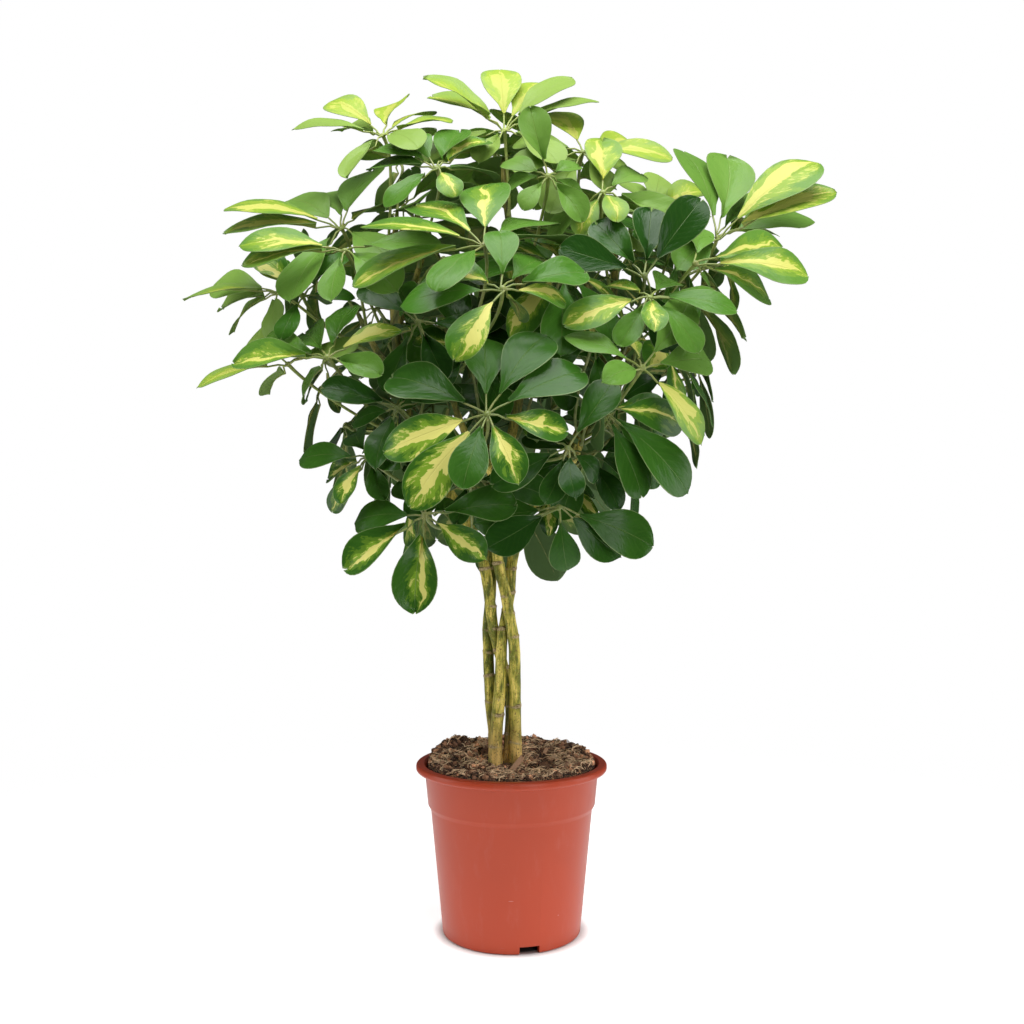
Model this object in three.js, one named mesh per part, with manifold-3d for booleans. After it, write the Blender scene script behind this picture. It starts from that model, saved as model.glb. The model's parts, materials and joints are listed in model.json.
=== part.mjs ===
// A variegated umbrella plant in a nursery pot: pot, soil, four twisted stems and their compound leaves.
// Millimetres, +Z up. The origin is on the pot's axis, at the surface that the pot stands on, and the
// viewer of the photograph looks along +Y.
import * as THREE from "three";
import { mergeVertices } from "three/addons/utils/BufferGeometryUtils.js";
import Module from "manifold-3d";

// ---------------------------------------------------------------------------- driving dimensions

const POT = {
  height: 185,
  lipRadius: 104.8, // the rolled lip, 210 mm across
  lipDepth: 8, // from the rim down to the lip's underside
  lipWidth: 8.2, // its flat top
  lipRound: 2.5,
  collarTop: 95,
  collarFoot: 91.8,
  collarHeight: 141, // where the step under the collar starts
  wallTop: 88.6, // the wall just below that step
  stepHeight: 134.5,
  footRadius: 75.6,
  wall: 1.9,
  floorHeight: 9, // underside of the raised floor
  floor: 2.5,
  padRadius: 34, // the middle of the floor comes down to the ground
  footRing: 68, // inside of the ring that the wall stands on
  footWidth: 5.4,
  slope: 4, // how far the floor's steps lean
  sides: 32,
};
const DRAINS = { count: 6, ring: 51, radius: 5, sides: 8 };
const NOTCHES = { count: 3, width: 21.5, height: 8.4, depth: 22, firstAt: -75.6 };

// The soil is level at the front and heaped by the mound towards the back left.
const SOIL = { height: 182, mound: 14, lumps: 2.6, edge: 3, rings: [84, 62, 36], seed: 7 };
const SEAT = 0.3; // gap between two pieces that touch

const STEM_SIDES = 8;
const SHOOT_SIDES = 6;
const RING_SWELL = 1.07; // leaf scars stand out from the bark by this factor
const CROWN_FOOT = 430; // the bare, scarred part of the stems ends here

// A leaf's stalk, from its widened foot on a stem to the hub. It is likeliest to start behind and below
// its hub, and no shorter, longer or higher than these where the crown leaves a choice.
const PETIOLE = {
  radius: 1.6,
  foot: 2.5,
  stations: [0, 0.1, 0.5, 1],
  behind: 70,
  below: 58,
  shortest: 60,
  longest: 165,
  leastRise: 22,
  choices: 120,
};
const HUB = { top: 3.3, bottom: 2.3, rise: 1, drop: 1.6, neck: 3, evenness: 0.55 };
const BLADE_KEEL = 1.8; // thickness of a leaflet under its midrib
const DROOP = { seen: 12, hidden: 16 }; // degrees that leaflets hang below their hub's own plane

const LEAFLET_GAP = 1.1; // between leaflets of different leaves
const NEIGHBOUR_GAP = 0.8; // between leaflets of one leaf
const PETIOLE_GAP = 1;
const HUB_ROOM = 11; // what a hub keeps free about itself

// Where the photograph was taken from, in the plant's frame, and its 1024 x 1024 picture in pixels.
const VIEW = { eye: [0, -1260, 460], focal: 1142, axisX: 511.5, horizonY: 512 };

const COLOURS = {
  terracotta: 0xc75f4b,
  peat: 0x4a3222,
  bark: 0x9c9340,
  young: 0x9dbb3c,
  green: 0x4f8a35,
  dark: 0x1f4d28,
};

// ---------------------------------------------------------------------------- small helpers

const vec = (x, y, z) => new THREE.Vector3(x, y, z);
const radians = THREE.MathUtils.degToRad;
const polar = (radius, degrees, z) =>
  vec(radius * Math.cos(radians(degrees)), radius * Math.sin(radians(degrees)), z);
const middle = (points) => points.reduce((sum, p) => sum.add(p), vec(0, 0, 0)).divideScalar(points.length);

// A seeded source of numbers from 0 to 1.
function draws(seed) {
  let state = seed >>> 0;
  return () => {
    state = (state + 0x6d2b79f5) >>> 0;
    let t = Math.imul(state ^ (state >>> 15), 1 | state);
    t = (t + Math.imul(t ^ (t >>> 7), 61 | t)) ^ t;
    return ((t ^ (t >>> 14)) >>> 0) / 4294967296;
  };
}

// The point at a given depth (mm along +Y) that shows at a pixel of the photograph.
function seenAt([px, py], depth) {
  const scale = (depth - VIEW.eye[1]) / VIEW.focal;
  return vec((px - VIEW.axisX) * scale, depth, VIEW.eye[2] - (py - VIEW.horizonY) * scale);
}

// Points and triangles of one closed body.
class Skin {
  points = [];
  faces = [];

  add(...points) {
    return points.map((p) => this.points.push(p) - 1);
  }

  // Side faces between two rings with as many points, both counter-clockwise about the way they go.
  tube(from, to) {
    from.forEach((a, i) => {
      const next = (i + 1) % from.length;
      this.faces.push([a, from[next], to[next]], [a, to[next], to[i]]);
    });
  }

  // Side faces between rings with different numbers of points, by the shorter diagonal each time.
  stitch(from, to) {
    const apart = (a, b) => this.points[a].distanceTo(this.points[b]);
    const nearer = (best, a, i) => (apart(a, to[0]) < apart(from[best], to[0]) ? i : best);
    const start = from.reduce(nearer, 0);
    const ring = from.map((_, i) => from[(start + i) % from.length]);
    let i = 0;
    let j = 0;
    while (i < ring.length || j < to.length) {
      const a = ring[i % ring.length];
      const b = to[j % to.length];
      const nextA = ring[(i + 1) % ring.length];
      const nextB = to[(j + 1) % to.length];
      const takeA = j === to.length || (i < ring.length && apart(nextA, b) <= apart(a, nextB));
      this.faces.push(takeA ? [a, nextA, b] : [a, nextB, b]);
      if (takeA) i += 1;
      else j += 1;
    }
  }

  fan(ring, centre) {
    ring.forEach((a, i) => this.faces.push([a, ring[(i + 1) % ring.length], centre]));
  }

  geometry() {
    const made = new THREE.BufferGeometry();
    const numbers = this.points.flatMap((p) => p.toArray());
    made.setAttribute("position", new THREE.Float32BufferAttribute(numbers, 3));
    made.setIndex(this.faces.flat());
    return made;
  }
}

function solidOf(geometry) {
  const bare = geometry.clone();
  ["normal", "uv"].forEach((name) => bare.deleteAttribute(name));
  const merged = mergeVertices(bare, 1e-3);
  return new wasm.Manifold(
    new wasm.Mesh({
      numProp: 3,
      vertProperties: new Float32Array(merged.attributes.position.array),
      triVerts: new Uint32Array(merged.index.array),
    }),
  );
}

function geometryOf(solid) {
  const mesh = solid.getMesh();
  const made = new THREE.BufferGeometry();
  made.setAttribute("position", new THREE.BufferAttribute(mesh.vertProperties, 3));
  made.setIndex(new THREE.BufferAttribute(mesh.triVerts, 1));
  return made;
}

const plant = new THREE.Group();

function place(name, geometry, colour, roughness) {
  geometry.computeVertexNormals();
  const material = new THREE.MeshStandardMaterial({ color: colour, roughness, metalness: 0 });
  const mesh = new THREE.Mesh(geometry, material);
  mesh.name = name;
  plant.add(mesh);
}

const wasm = await Module();
wasm.setup();

// ---------------------------------------------------------------------------- pot

function makePot() {
  const { height, lipRadius, lipDepth, lipWidth, lipRound, wall, slope } = POT;
  const { footRadius, footRing, footWidth, padRadius, floorHeight, floor } = POT;
  const floorTop = floorHeight + floor;
  const outline = [
    [0, 0],
    [padRadius, 0],
    [padRadius + slope, floorHeight],
    [footRing - slope / 2, floorHeight],
    [footRing, 0],
    [footRing + footWidth, 0],
    [footRadius, lipRound],
    [POT.wallTop, POT.stepHeight],
    [POT.collarFoot, POT.collarHeight],
    [POT.collarTop, height - lipDepth - lipRound],
    [lipRadius - lipRound, height - lipDepth],
    [lipRadius, height - lipDepth + 2 * lipRound],
    [lipRadius, height - lipRound],
    [lipRadius - lipRound, height],
    [lipRadius - lipWidth, height],
    [POT.collarTop - wall, height - 2 * lipRound],
    [POT.collarFoot - wall, POT.collarHeight],
    [POT.wallTop - wall, POT.stepHeight],
    [footRadius - wall, floorTop + wall],
    [footRadius - 2 * wall, floorTop],
    [padRadius + slope, floorTop],
    [padRadius - wall, floor],
    [0, floor],
  ].map(([r, z]) => new THREE.Vector2(r, z));
  let pot = solidOf(new THREE.LatheGeometry(outline, POT.sides).rotateX(Math.PI / 2));
  for (let i = 0; i < DRAINS.count; i++) {
    const at = polar(DRAINS.ring, (360 / DRAINS.count) * (i + 0.5), floorHeight + floor / 2);
    const hole = new THREE.CylinderGeometry(DRAINS.radius, DRAINS.radius, 3 * floor, DRAINS.sides);
    pot = pot.subtract(solidOf(hole.rotateX(Math.PI / 2).translate(at.x, at.y, at.z)));
  }
  for (let i = 0; i < NOTCHES.count; i++) {
    const angle = NOTCHES.firstAt + (360 / NOTCHES.count) * i;
    const at = polar(footRadius, angle, 0);
    const cut = new THREE.BoxGeometry(NOTCHES.depth, NOTCHES.width, 2 * NOTCHES.height);
    cut.rotateZ(radians(angle)).translate(at.x, at.y, at.z);
    pot = pot.subtract(solidOf(cut));
  }
  return pot;
}

// ---------------------------------------------------------------------------- stems

// Each stem's centre line, from its foot in the soil up into the crown: x, y, z and radius.
const STEMS = {
  stem_front: {
    line: [
      [4.4, -4, 104, 7.2], [4.2, -5, 150, 7.3], [3.8, -6, 184, 7.2], [4.1, -7, 207, 7],
      [3.6, -7, 248, 6.8], [4.1, -7, 285, 6.4], [1.6, -12.5, 325, 6.2], [-2.9, -14, 351, 6.1],
      [-5.7, -14, 367, 6], [-14.2, -14, 404, 6.1], [-18, -26, 450, 6.1], [-12, -48, 495, 5.8],
      [2, -62, 545, 5.4], [12, -66, 600, 5], [14, -58, 655, 4.6], [8, -44, 710, 4.2],
      [-2, -26, 765, 3.8], [-8, -10, 815, 3.4], [-9, -2, 850, 3],
    ],
    shoots: [
      [[-12, -48, 495, 4.4], [-44, -78, 530, 3.8], [-62, -98, 575, 3.4], [-66, -112, 625, 3]],
      [[14, -58, 655, 4], [40, -84, 690, 3.6], [52, -92, 735, 3.2]],
    ],
  },
  stem_left: {
    line: [
      [-5, 10, 104, 6.9], [-3.9, 10, 150, 6.9], [-2.8, 9.5, 178, 6.8], [-1.1, 8.5, 214, 6.6],
      [-0.8, 8, 246, 6.4], [-4.4, 8, 270, 6.2], [-9.1, 8, 288, 6.1], [-14.2, 7.5, 307, 6],
      [-20.2, 5, 332, 6], [-23.2, 0, 357, 6.1], [-29.3, -6, 398, 6.1], [-50, -14, 452, 6.1],
      [-78, -20, 498, 5.7], [-102, -24, 548, 5.3], [-120, -24, 604, 4.8], [-128, -20, 664, 4.3],
      [-130, -14, 724, 3.8], [-126, -8, 784, 3.2],
    ],
    shoots: [
      [[-78, -20, 498, 4.2], [-100, -58, 520, 3.6], [-108, -80, 560, 3.1]],
      [[-120, -24, 604, 4], [-152, -6, 640, 3.4], [-172, 8, 684, 3]],
      [[-128, -20, 664, 3.8], [-100, -52, 704, 3.4], [-86, -66, 756, 3]],
    ],
  },
  stem_back: {
    line: [
      [-21.7, 9, 104, 6.9], [-20.6, 9, 150, 6.9], [-19.5, 9.5, 178, 6.8], [-19.4, 8.5, 212, 6.5],
      [-23.2, 7.5, 249, 6.2], [-24.8, 8.5, 279, 6.1], [-25.8, 15, 304, 6], [-26.7, 19, 329, 6],
      [-24, 17, 357, 6], [-22, 11, 398, 6], [-16, 30, 455, 6], [-22, 62, 505, 5.6],
      [-34, 88, 560, 5.1], [-40, 102, 620, 4.6], [-38, 98, 680, 4.2], [-32, 84, 740, 3.7],
      [-30, 66, 800, 3.2],
    ],
    shoots: [
      [[-22, 62, 505, 4.2], [-58, 88, 530, 3.6], [-82, 108, 570, 3.1]],
      [[-34, 88, 560, 4.2], [-4, 122, 600, 3.6], [12, 140, 650, 3]],
      [[-38, 98, 680, 3.8], [-72, 104, 720, 3.2], [-88, 96, 768, 2.8]],
    ],
  },
  stem_right: {
    line: [
      [-16.4, -9, 104, 7.2], [-17, -9, 150, 7.3], [-17.5, -9, 180, 7.2], [-17.3, -9, 203, 7],
      [-15.2, -9, 239, 6.9], [-13.4, -8.5, 256, 6.7], [-11, -6.5, 300, 5.8], [-8.7, -3, 332, 5.7],
      [-5, 2, 352, 5.7], [-1.7, 4, 372, 5.8], [-0.3, 6, 398, 5.9], [12, 10, 452, 6.2],
      [50, 8, 500, 5.8], [78, 2, 552, 5.4], [98, -6, 608, 4.9], [110, -12, 666, 4.4],
      [114, -14, 724, 3.9], [108, -12, 780, 3.3],
    ],
    shoots: [
      [[50, 8, 500, 4.3], [70, -40, 516, 3.7], [78, -70, 552, 3.2]],
      [[78, 2, 552, 4.2], [96, 52, 584, 3.6], [104, 84, 634, 3.1]],
      [[98, -6, 608, 4], [134, -18, 644, 3.5], [156, -22, 694, 3]],
      [[110, -12, 666, 3.8], [84, 30, 712, 3.3], [70, 50, 768, 2.8]],
    ],
  },
};

// Rings of points along a centre line, each in the plane halfway between its two neighbours.
function ringsAlong(line, sides, grow = 0) {
  const centres = line.map(([x, y, z]) => vec(x, y, z));
  return centres.map((centre, i) => {
    const before = centres[Math.max(i - 1, 0)];
    const after = centres[Math.min(i + 1, centres.length - 1)];
    const along = after.clone().sub(before).normalize();
    const across = vec(0, 1, 0).cross(along).normalize();
    const third = along.clone().cross(across);
    return Array.from({ length: sides }, (_, k) => {
      const turn = (2 * Math.PI * k) / sides;
      const reach = across.clone().multiplyScalar(Math.cos(turn)).addScaledVector(third, Math.sin(turn));
      return centre.clone().addScaledVector(reach, line[i][3] + grow);
    });
  });
}

function tubeSolid(rings) {
  const skin = new Skin();
  const placed = rings.map((ring) => skin.add(...ring));
  placed.slice(1).forEach((ring, i) => skin.tube(placed[i], ring));
  const [foot] = skin.add(middle(rings[0]));
  const [tip] = skin.add(middle(rings.at(-1)));
  skin.fan([...placed[0]].reverse(), foot);
  skin.fan(placed.at(-1), tip);
  return solidOf(skin.geometry());
}

// Below the crown the bark flares a little up to each leaf scar and steps back above it, by this share
// of the way to the next station.
function withScars(line) {
  const step = 0.14;
  return line.flatMap((station, i) => {
    if (i === 0 || station[2] > CROWN_FOOT) return [station];
    const [x, y, z, radius] = station;
    const above = station.map((value, k) => THREE.MathUtils.lerp(value, line[i + 1][k], step));
    return [[x, y, z, radius * RING_SWELL], above];
  });
}

function makeStem({ line, shoots }) {
  return shoots.reduce(
    (stem, shoot) => stem.add(tubeSolid(ringsAlong(shoot, SHOOT_SIDES))),
    tubeSolid(ringsAlong(withScars(line), STEM_SIDES)),
  );
}

// ---------------------------------------------------------------------------- soil

function makeSoil(stems) {
  const random = draws(SOIL.seed);
  const skin = new Skin();
  const floorTop = POT.floorHeight + POT.floor + SEAT;
  // The wall's flat facets cut inside its round radius, and the soil's rings turn with them.
  const inside = (radius) => radius - POT.wall - 2 * SEAT;
  const level = (radius, angle) => {
    const { x, y } = polar(radius, angle, 0);
    const back = THREE.MathUtils.smoothstep(y, -20, 60);
    const left = THREE.MathUtils.smoothstep(-x, 20, 75);
    return SOIL.height + SOIL.mound * back * (0.6 + 0.4 * left);
  };
  const ring = (radius, height) =>
    skin.add(
      ...Array.from({ length: POT.sides }, (_, i) => {
        const angle = (360 / POT.sides) * i;
        return polar(radius, angle, height(radius, angle));
      }),
    );
  const lumpy = (radius, angle) => level(radius, angle) + (random() - 0.5) * 2 * SOIL.lumps;
  const rings = [
    ring(inside(POT.footRadius) - POT.wall, () => floorTop),
    ring(inside(POT.footRadius), () => floorTop + POT.wall),
    ring(inside(POT.wallTop), () => POT.stepHeight),
    ring(inside(POT.collarFoot), () => POT.collarHeight),
    ring(inside(POT.collarTop), (radius, angle) => level(radius, angle) - SOIL.edge),
    ...SOIL.rings.map((radius) => ring(radius, lumpy)),
  ];
  rings.slice(1).forEach((to, i) => skin.tube(rings[i], to));
  const [top] = skin.add(vec(0, 0, SOIL.height));
  const [bottom] = skin.add(vec(0, 0, floorTop));
  skin.fan(rings.at(-1), top);
  skin.fan([...rings[0]].reverse(), bottom);
  return stems.reduce((soil, { line }) => {
    const buried = line.filter(([, , z]) => z < SOIL.height + 3 * SOIL.mound);
    const hole = buried.map(([x, y, z, radius]) => [x, y, z, radius * RING_SWELL]);
    hole[0][2] -= SEAT;
    return soil.subtract(tubeSolid(ringsAlong(hole, STEM_SIDES, SEAT)));
  }, solidOf(skin.geometry()));
}

// ---------------------------------------------------------------------------- room between pieces

// A convex stretch of a leaflet, petiole or stem: its points and three directions across it.
function chunk(owner, points, axes) {
  const centre = middle(points);
  const radius = Math.max(...points.map((p) => p.distanceTo(centre)));
  return { owner, points, axes, centre, radius };
}

function gapAlong(axis, a, b) {
  const reach = (points) => {
    const along = points.map((p) => p.dot(axis));
    return [Math.min(...along), Math.max(...along)];
  };
  const [lowA, highA] = reach(a.points);
  const [lowB, highB] = reach(b.points);
  return Math.max(lowB - highA, lowA - highB);
}

// Whether two convex chunks lie further apart than gap.
function apart(a, b, gap) {
  if (a.centre.distanceTo(b.centre) > a.radius + b.radius + gap) return true;
  const between = b.centre.clone().sub(a.centre).normalize();
  const crossed = a.axes.flatMap((u) => b.axes.map((v) => u.clone().cross(v)));
  return [between, ...a.axes, ...b.axes, ...crossed].some(
    (axis) => axis.lengthSq() > 1e-6 && gapAlong(axis.clone().normalize(), a, b) > gap,
  );
}

function tubeChunks(owner, rings) {
  return rings.slice(1).map((to, i) => {
    const from = rings[i];
    const along = to[0].clone().sub(from[0]).normalize();
    const across = from[0].clone().sub(from[Math.floor(from.length / 2)]).normalize();
    return chunk(owner, [...from, ...to], [along, across, along.clone().cross(across).normalize()]);
  });
}

// ---------------------------------------------------------------------------- leaves

// The leaves that the photograph shows. hub and tips are where the hub and the leaflets' tips show in
// the picture, depth is the hub's place along +Y, faces is the way that the umbrella's top looks, reach
// is the longest leaflet with its stalk, and leaflets says how many there are with the hidden ones.
const SEEN = [
  {
    name: "leaf_front_middle",
    hub: [487, 414], depth: -236,
    faces: [-0.05, -0.9, 0.42], reach: 112, leaflets: 9,
    tips: [
      [462, 488, 14], [518, 478], [408, 508], [570, 430], [377, 447],
      [390, 375], [484, 336], [546, 340], [575, 360],
    ],
  },
  {
    name: "leaf_front_high",
    hub: [503, 289], depth: -216,
    faces: [0.1, -0.8, 0.6], reach: 96, leaflets: 8,
    tips: [[400, 305], [453, 360], [522, 318], [568, 302], [587, 270], [545, 250], [498, 250], [438, 268]],
  },
  {
    name: "leaf_right_upright",
    hub: [645, 276], depth: -156,
    faces: [0, -0.97, 0.22], reach: 94, leaflets: 5,
    tips: [[595, 220], [642, 205], [697, 207], [560, 256]],
  },
  {
    name: "leaf_right_outer",
    hub: [695, 264], depth: -128,
    faces: [0.35, -0.8, 0.45], reach: 112, leaflets: 5,
    tips: [[781, 250], [807, 276], [773, 297], [712, 305], [697, 225]],
  },
  {
    name: "leaf_front_low_left",
    hub: [425, 515], depth: -176,
    faces: [-0.2, -0.8, 0.5], reach: 97, leaflets: 8,
    tips: [[352, 522], [348, 573], [414, 614], [487, 558], [467, 505], [400, 480]],
  },
  {
    name: "leaf_front_low",
    hub: [558, 507], depth: -168,
    faces: [0.05, -0.96, 0.2], reach: 105, leaflets: 5,
    tips: [[568, 573, 6], [485, 549, 6], [621, 557], [652, 548], [468, 512]],
  },
  {
    name: "leaf_front_top",
    hub: [485, 245], depth: -178,
    faces: [-0.05, -0.5, 0.85], reach: 118, leaflets: 8,
    tips: [[415, 205], [487, 192], [365, 232], [550, 222], [565, 240], [352, 285]],
  },
  {
    name: "leaf_front_right_low",
    hub: [600, 407], depth: -186,
    faces: [0.35, -0.85, 0.35], reach: 115, leaflets: 7,
    tips: [[668, 405], [672, 432], [660, 470], [691, 492], [638, 500], [592, 442]],
  },
  {
    name: "leaf_front_dark",
    hub: [568, 448], depth: -206,
    faces: [0, -0.9, 0.4], reach: 82, leaflets: 6,
    tips: [[576, 497], [600, 480], [490, 485], [545, 505], [530, 425]],
  },
  {
    name: "leaf_right_pale",
    hub: [643, 368], depth: -190,
    faces: [0.4, -0.75, 0.5], reach: 95, leaflets: 6,
    tips: [[628, 335], [668, 328], [703, 443], [711, 359], [604, 380]],
  },
  {
    name: "leaf_right_inner",
    hub: [650, 297], depth: -168,
    faces: [0.15, -0.75, 0.6], reach: 90, leaflets: 8,
    tips: [[605, 272], [563, 325], [725, 312], [728, 330], [655, 330], [618, 345]],
  },
  {
    name: "leaf_right_far",
    hub: [718, 238], depth: -58,
    faces: [0.35, -0.5, 0.8], reach: 130, leaflets: 8,
    tips: [[683, 152], [722, 165], [748, 190], [803, 180], [836, 187], [807, 221], [765, 228]],
  },
  {
    name: "leaf_left_big",
    hub: [328, 357], depth: -150,
    faces: [-0.3, -0.75, 0.6], reach: 104, leaflets: 7,
    tips: [[257, 343], [235, 363], [297, 322], [354, 312], [402, 328], [382, 372], [300, 402]],
  },
  {
    name: "leaf_left_lime",
    hub: [288, 364], depth: -92,
    faces: [-0.6, -0.4, 0.7], reach: 95, leaflets: 5,
    tips: [[197, 385], [250, 336], [265, 392]],
  },
  {
    name: "leaf_left_low",
    hub: [368, 457], depth: -140,
    faces: [-0.4, -0.7, 0.55], reach: 76, leaflets: 8,
    tips: [[299, 459], [355, 430], [325, 478], [330, 513], [350, 512], [385, 500], [398, 467]],
  },
  {
    name: "leaf_left_high",
    hub: [342, 228], depth: -50,
    faces: [-0.3, -0.5, 0.8], reach: 124, leaflets: 8,
    tips: [[222, 230], [234, 217], [287, 200], [372, 170], [345, 188], [395, 205]],
  },
  {
    name: "leaf_left_front",
    hub: [345, 250], depth: -112,
    faces: [-0.35, -0.6, 0.7], reach: 104, leaflets: 7,
    tips: [[245, 250], [248, 270], [293, 268], [374, 262], [330, 300]],
  },
  {
    name: "leaf_left_middle",
    hub: [303, 296], depth: -92,
    faces: [-0.15, -0.75, 0.65], reach: 76, leaflets: 6,
    tips: [[258, 257], [278, 248], [328, 303], [355, 297], [350, 250]],
  },
  {
    name: "leaf_left_far",
    hub: [278, 292], depth: -24,
    faces: [-0.75, -0.3, 0.6], reach: 100, leaflets: 6,
    tips: [[187, 301], [219, 306], [232, 330], [212, 286]],
  },
  {
    name: "leaf_top",
    hub: [505, 130], depth: -22,
    faces: [0, -0.45, 0.9], reach: 106, leaflets: 9,
    tips: [[425, 73], [432, 98], [500, 72], [540, 77], [575, 90], [598, 104], [478, 160]],
  },
  {
    name: "leaf_top_left",
    hub: [383, 135], depth: -40,
    faces: [-0.35, -0.4, 0.85], reach: 95, leaflets: 8,
    tips: [[330, 103], [296, 132], [400, 100], [432, 112], [340, 128]],
  },
  {
    name: "leaf_top_front_left",
    hub: [437, 168], depth: -104,
    faces: [-0.15, -0.6, 0.8], reach: 86, leaflets: 8,
    tips: [[378, 148], [367, 160], [400, 128], [460, 128], [480, 146], [498, 160], [455, 195]],
  },
  {
    name: "leaf_top_right",
    hub: [583, 152], depth: -50,
    faces: [0.15, -0.75, 0.6], reach: 95, leaflets: 8,
    tips: [[555, 110], [635, 143], [672, 160], [632, 174], [610, 190]],
  },
  {
    name: "leaf_top_front",
    hub: [548, 176], depth: -112,
    faces: [0, -0.85, 0.5], reach: 72, leaflets: 7,
    tips: [[530, 118], [502, 160], [500, 180], [522, 208], [580, 165], [578, 198]],
  },
  {
    name: "leaf_top_front_right",
    hub: [603, 192], depth: -98,
    faces: [0.05, -0.75, 0.65], reach: 88, leaflets: 6,
    tips: [[523, 207], [578, 230], [617, 226], [640, 178], [600, 160]],
  },
  {
    name: "leaf_right_back_high",
    hub: [650, 216], depth: 10,
    faces: [0.3, -0.5, 0.8], reach: 88, leaflets: 8,
    tips: [[620, 180], [660, 175], [702, 188], [708, 214], [600, 196]],
  },
  {
    name: "leaf_inner_left",
    hub: [418, 322], depth: -128,
    faces: [-0.2, -0.8, 0.55], reach: 84, leaflets: 7,
    tips: [[366, 296], [398, 284], [452, 330], [380, 345]],
  },
  {
    name: "leaf_inner_low_left",
    hub: [398, 408], depth: -132,
    faces: [-0.25, -0.8, 0.5], reach: 78, leaflets: 7,
    tips: [[330, 392], [352, 418], [420, 380], [380, 445]],
  },
  {
    name: "leaf_inner_middle",
    hub: [470, 352], depth: -120,
    faces: [0, -0.8, 0.55], reach: 92, leaflets: 7,
    tips: [[405, 345], [430, 300], [500, 310], [520, 372], [430, 395]],
  },
  {
    name: "leaf_inner_low",
    hub: [470, 478], depth: -110,
    faces: [0, -0.8, 0.5], reach: 88, leaflets: 7,
    tips: [[400, 470], [440, 540], [500, 540], [530, 470], [470, 420]],
  },
  {
    name: "leaf_inner_low_right",
    hub: [585, 455], depth: -92,
    faces: [0.1, -0.8, 0.5], reach: 88, leaflets: 7,
    tips: [[520, 430], [560, 520], [620, 510], [650, 440], [590, 390]],
  },
  {
    name: "leaf_inner_high",
    hub: [540, 352], depth: -96,
    faces: [0, -0.8, 0.55], reach: 88, leaflets: 7,
    tips: [[500, 300], [560, 290], [600, 350], [570, 410], [500, 400]],
  },
  {
    name: "leaf_inner_right",
    hub: [592, 345], depth: -140,
    faces: [0.15, -0.8, 0.55], reach: 84, leaflets: 7,
    tips: [[545, 372], [592, 318], [640, 345], [618, 375], [560, 330]],
  },
];

// The leaves that the photograph hides fill the rest of the crown's shell, each as far as it can be from
// the others. spread is how far out leaflets reach at a height.
const HIDDEN = {
  count: 21,
  seed: 53,
  tries: 90,
  low: 470,
  high: 850,
  spread: [
    [400, 120], [450, 175], [520, 205], [600, 245], [680, 300], [760, 300], [840, 225], [900, 130],
  ],
  inset: 88, // from a leaflet's tip back to its hub, seen from above
  nearest: 30,
  reach: [98, 118],
  deep: 0.86, // the crown is a little shallower from front to back
};

const SHAPE = {
  shortest: 0.68, // of a leaf's longest leaflet
  stalk: 0.19, // share of a leaflet's length that is its bare stalk
  stations: [0.28, 0.64, 0.91], // of the blade
  widths: [0.66, 1, 0.72],
  slim: [0.6, 0.48], // width of a blade over its length, on the lowest leaves and on the highest
  arch: 0.09, // rise of its middle over its length
  stalkWidth: 3.2,
  tipDrop: 0.5,
};

// Small changes that are tried, gentlest first, until a leaflet is clear of all that is in place.
const BENDS = [1, 0.86, 0.72]
  .flatMap((scale) =>
    [0, 6, -6, 12, -12, 18, -18, 26, -26, 36, -36, 48, -48].flatMap((lift) =>
      [0, 7, -7, 14, -14].map((swing) => ({
        lift,
        swing,
        scale,
        cost: Math.abs(lift) + 1.4 * Math.abs(swing) + 110 * (1 - scale),
      })),
    ),
  )
  .sort((a, b) => a.cost - b.cost);

// From hub to tip, for a tip seen at a pixel: the tip lies near the umbrella's own drooping disc, or
// nearer to the viewer by the tip's third number.
function towards(tip, hub, faces, reach, droop) {
  const nearer = tip[2] ?? 0;
  let step = vec(0, 0, 0);
  let depth = hub.y;
  for (let i = 0; i < 4; i++) {
    const flat = seenAt(tip, depth).sub(hub);
    const drop = reach * Math.sin(droop) + faces.x * flat.x + faces.z * flat.z;
    const onDisc = drop / Math.max(-faces.y, 0.2);
    const across = Math.hypot(flat.x, flat.z);
    const most = Math.sqrt(Math.max(reach ** 2 - across ** 2, 0));
    const least = Math.sqrt(Math.max((SHAPE.shortest * reach) ** 2 - across ** 2, 0));
    const onCone = THREE.MathUtils.clamp(Math.abs(onDisc), least, most) * Math.sign(onDisc || 1);
    const inwards = onCone - nearer;
    step = vec(flat.x, inwards, flat.z);
    depth = hub.y + inwards;
  }
  return step;
}

// Directions in the umbrella's disc are angles about its axis.
function discOf(faces) {
  const east = vec(1, 0, 0).addScaledVector(faces, -faces.x).normalize();
  const north = faces.clone().cross(east);
  return {
    angleOf: (v) => THREE.MathUtils.euclideanModulo(Math.atan2(v.dot(north), v.dot(east)), 2 * Math.PI),
    at: (angle) => east.clone().multiplyScalar(Math.cos(angle)).addScaledVector(north, Math.sin(angle)),
  };
}

// Leaflets that nothing shows go into the widest gaps between those in place.
function fillGaps(steps, disc, faces, count, reach, droop, random) {
  const all = [...steps];
  while (all.length < count) {
    const first = random() * 2 * Math.PI;
    const angles = all.length ? all.map(disc.angleOf).sort((a, b) => a - b) : [first];
    const gaps = angles.map((angle, i) => (angles[i + 1] ?? angles[0] + 2 * Math.PI) - angle);
    const widest = gaps.indexOf(Math.max(...gaps));
    const lean = droop + radians((random() - 0.5) * 10);
    const out = disc.at(angles[widest] + gaps[widest] / 2).multiplyScalar(Math.cos(lean));
    out.addScaledVector(faces, -Math.sin(lean));
    all.push(out.multiplyScalar(reach * (0.8 + 0.2 * random())));
  }
  return all;
}

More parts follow.
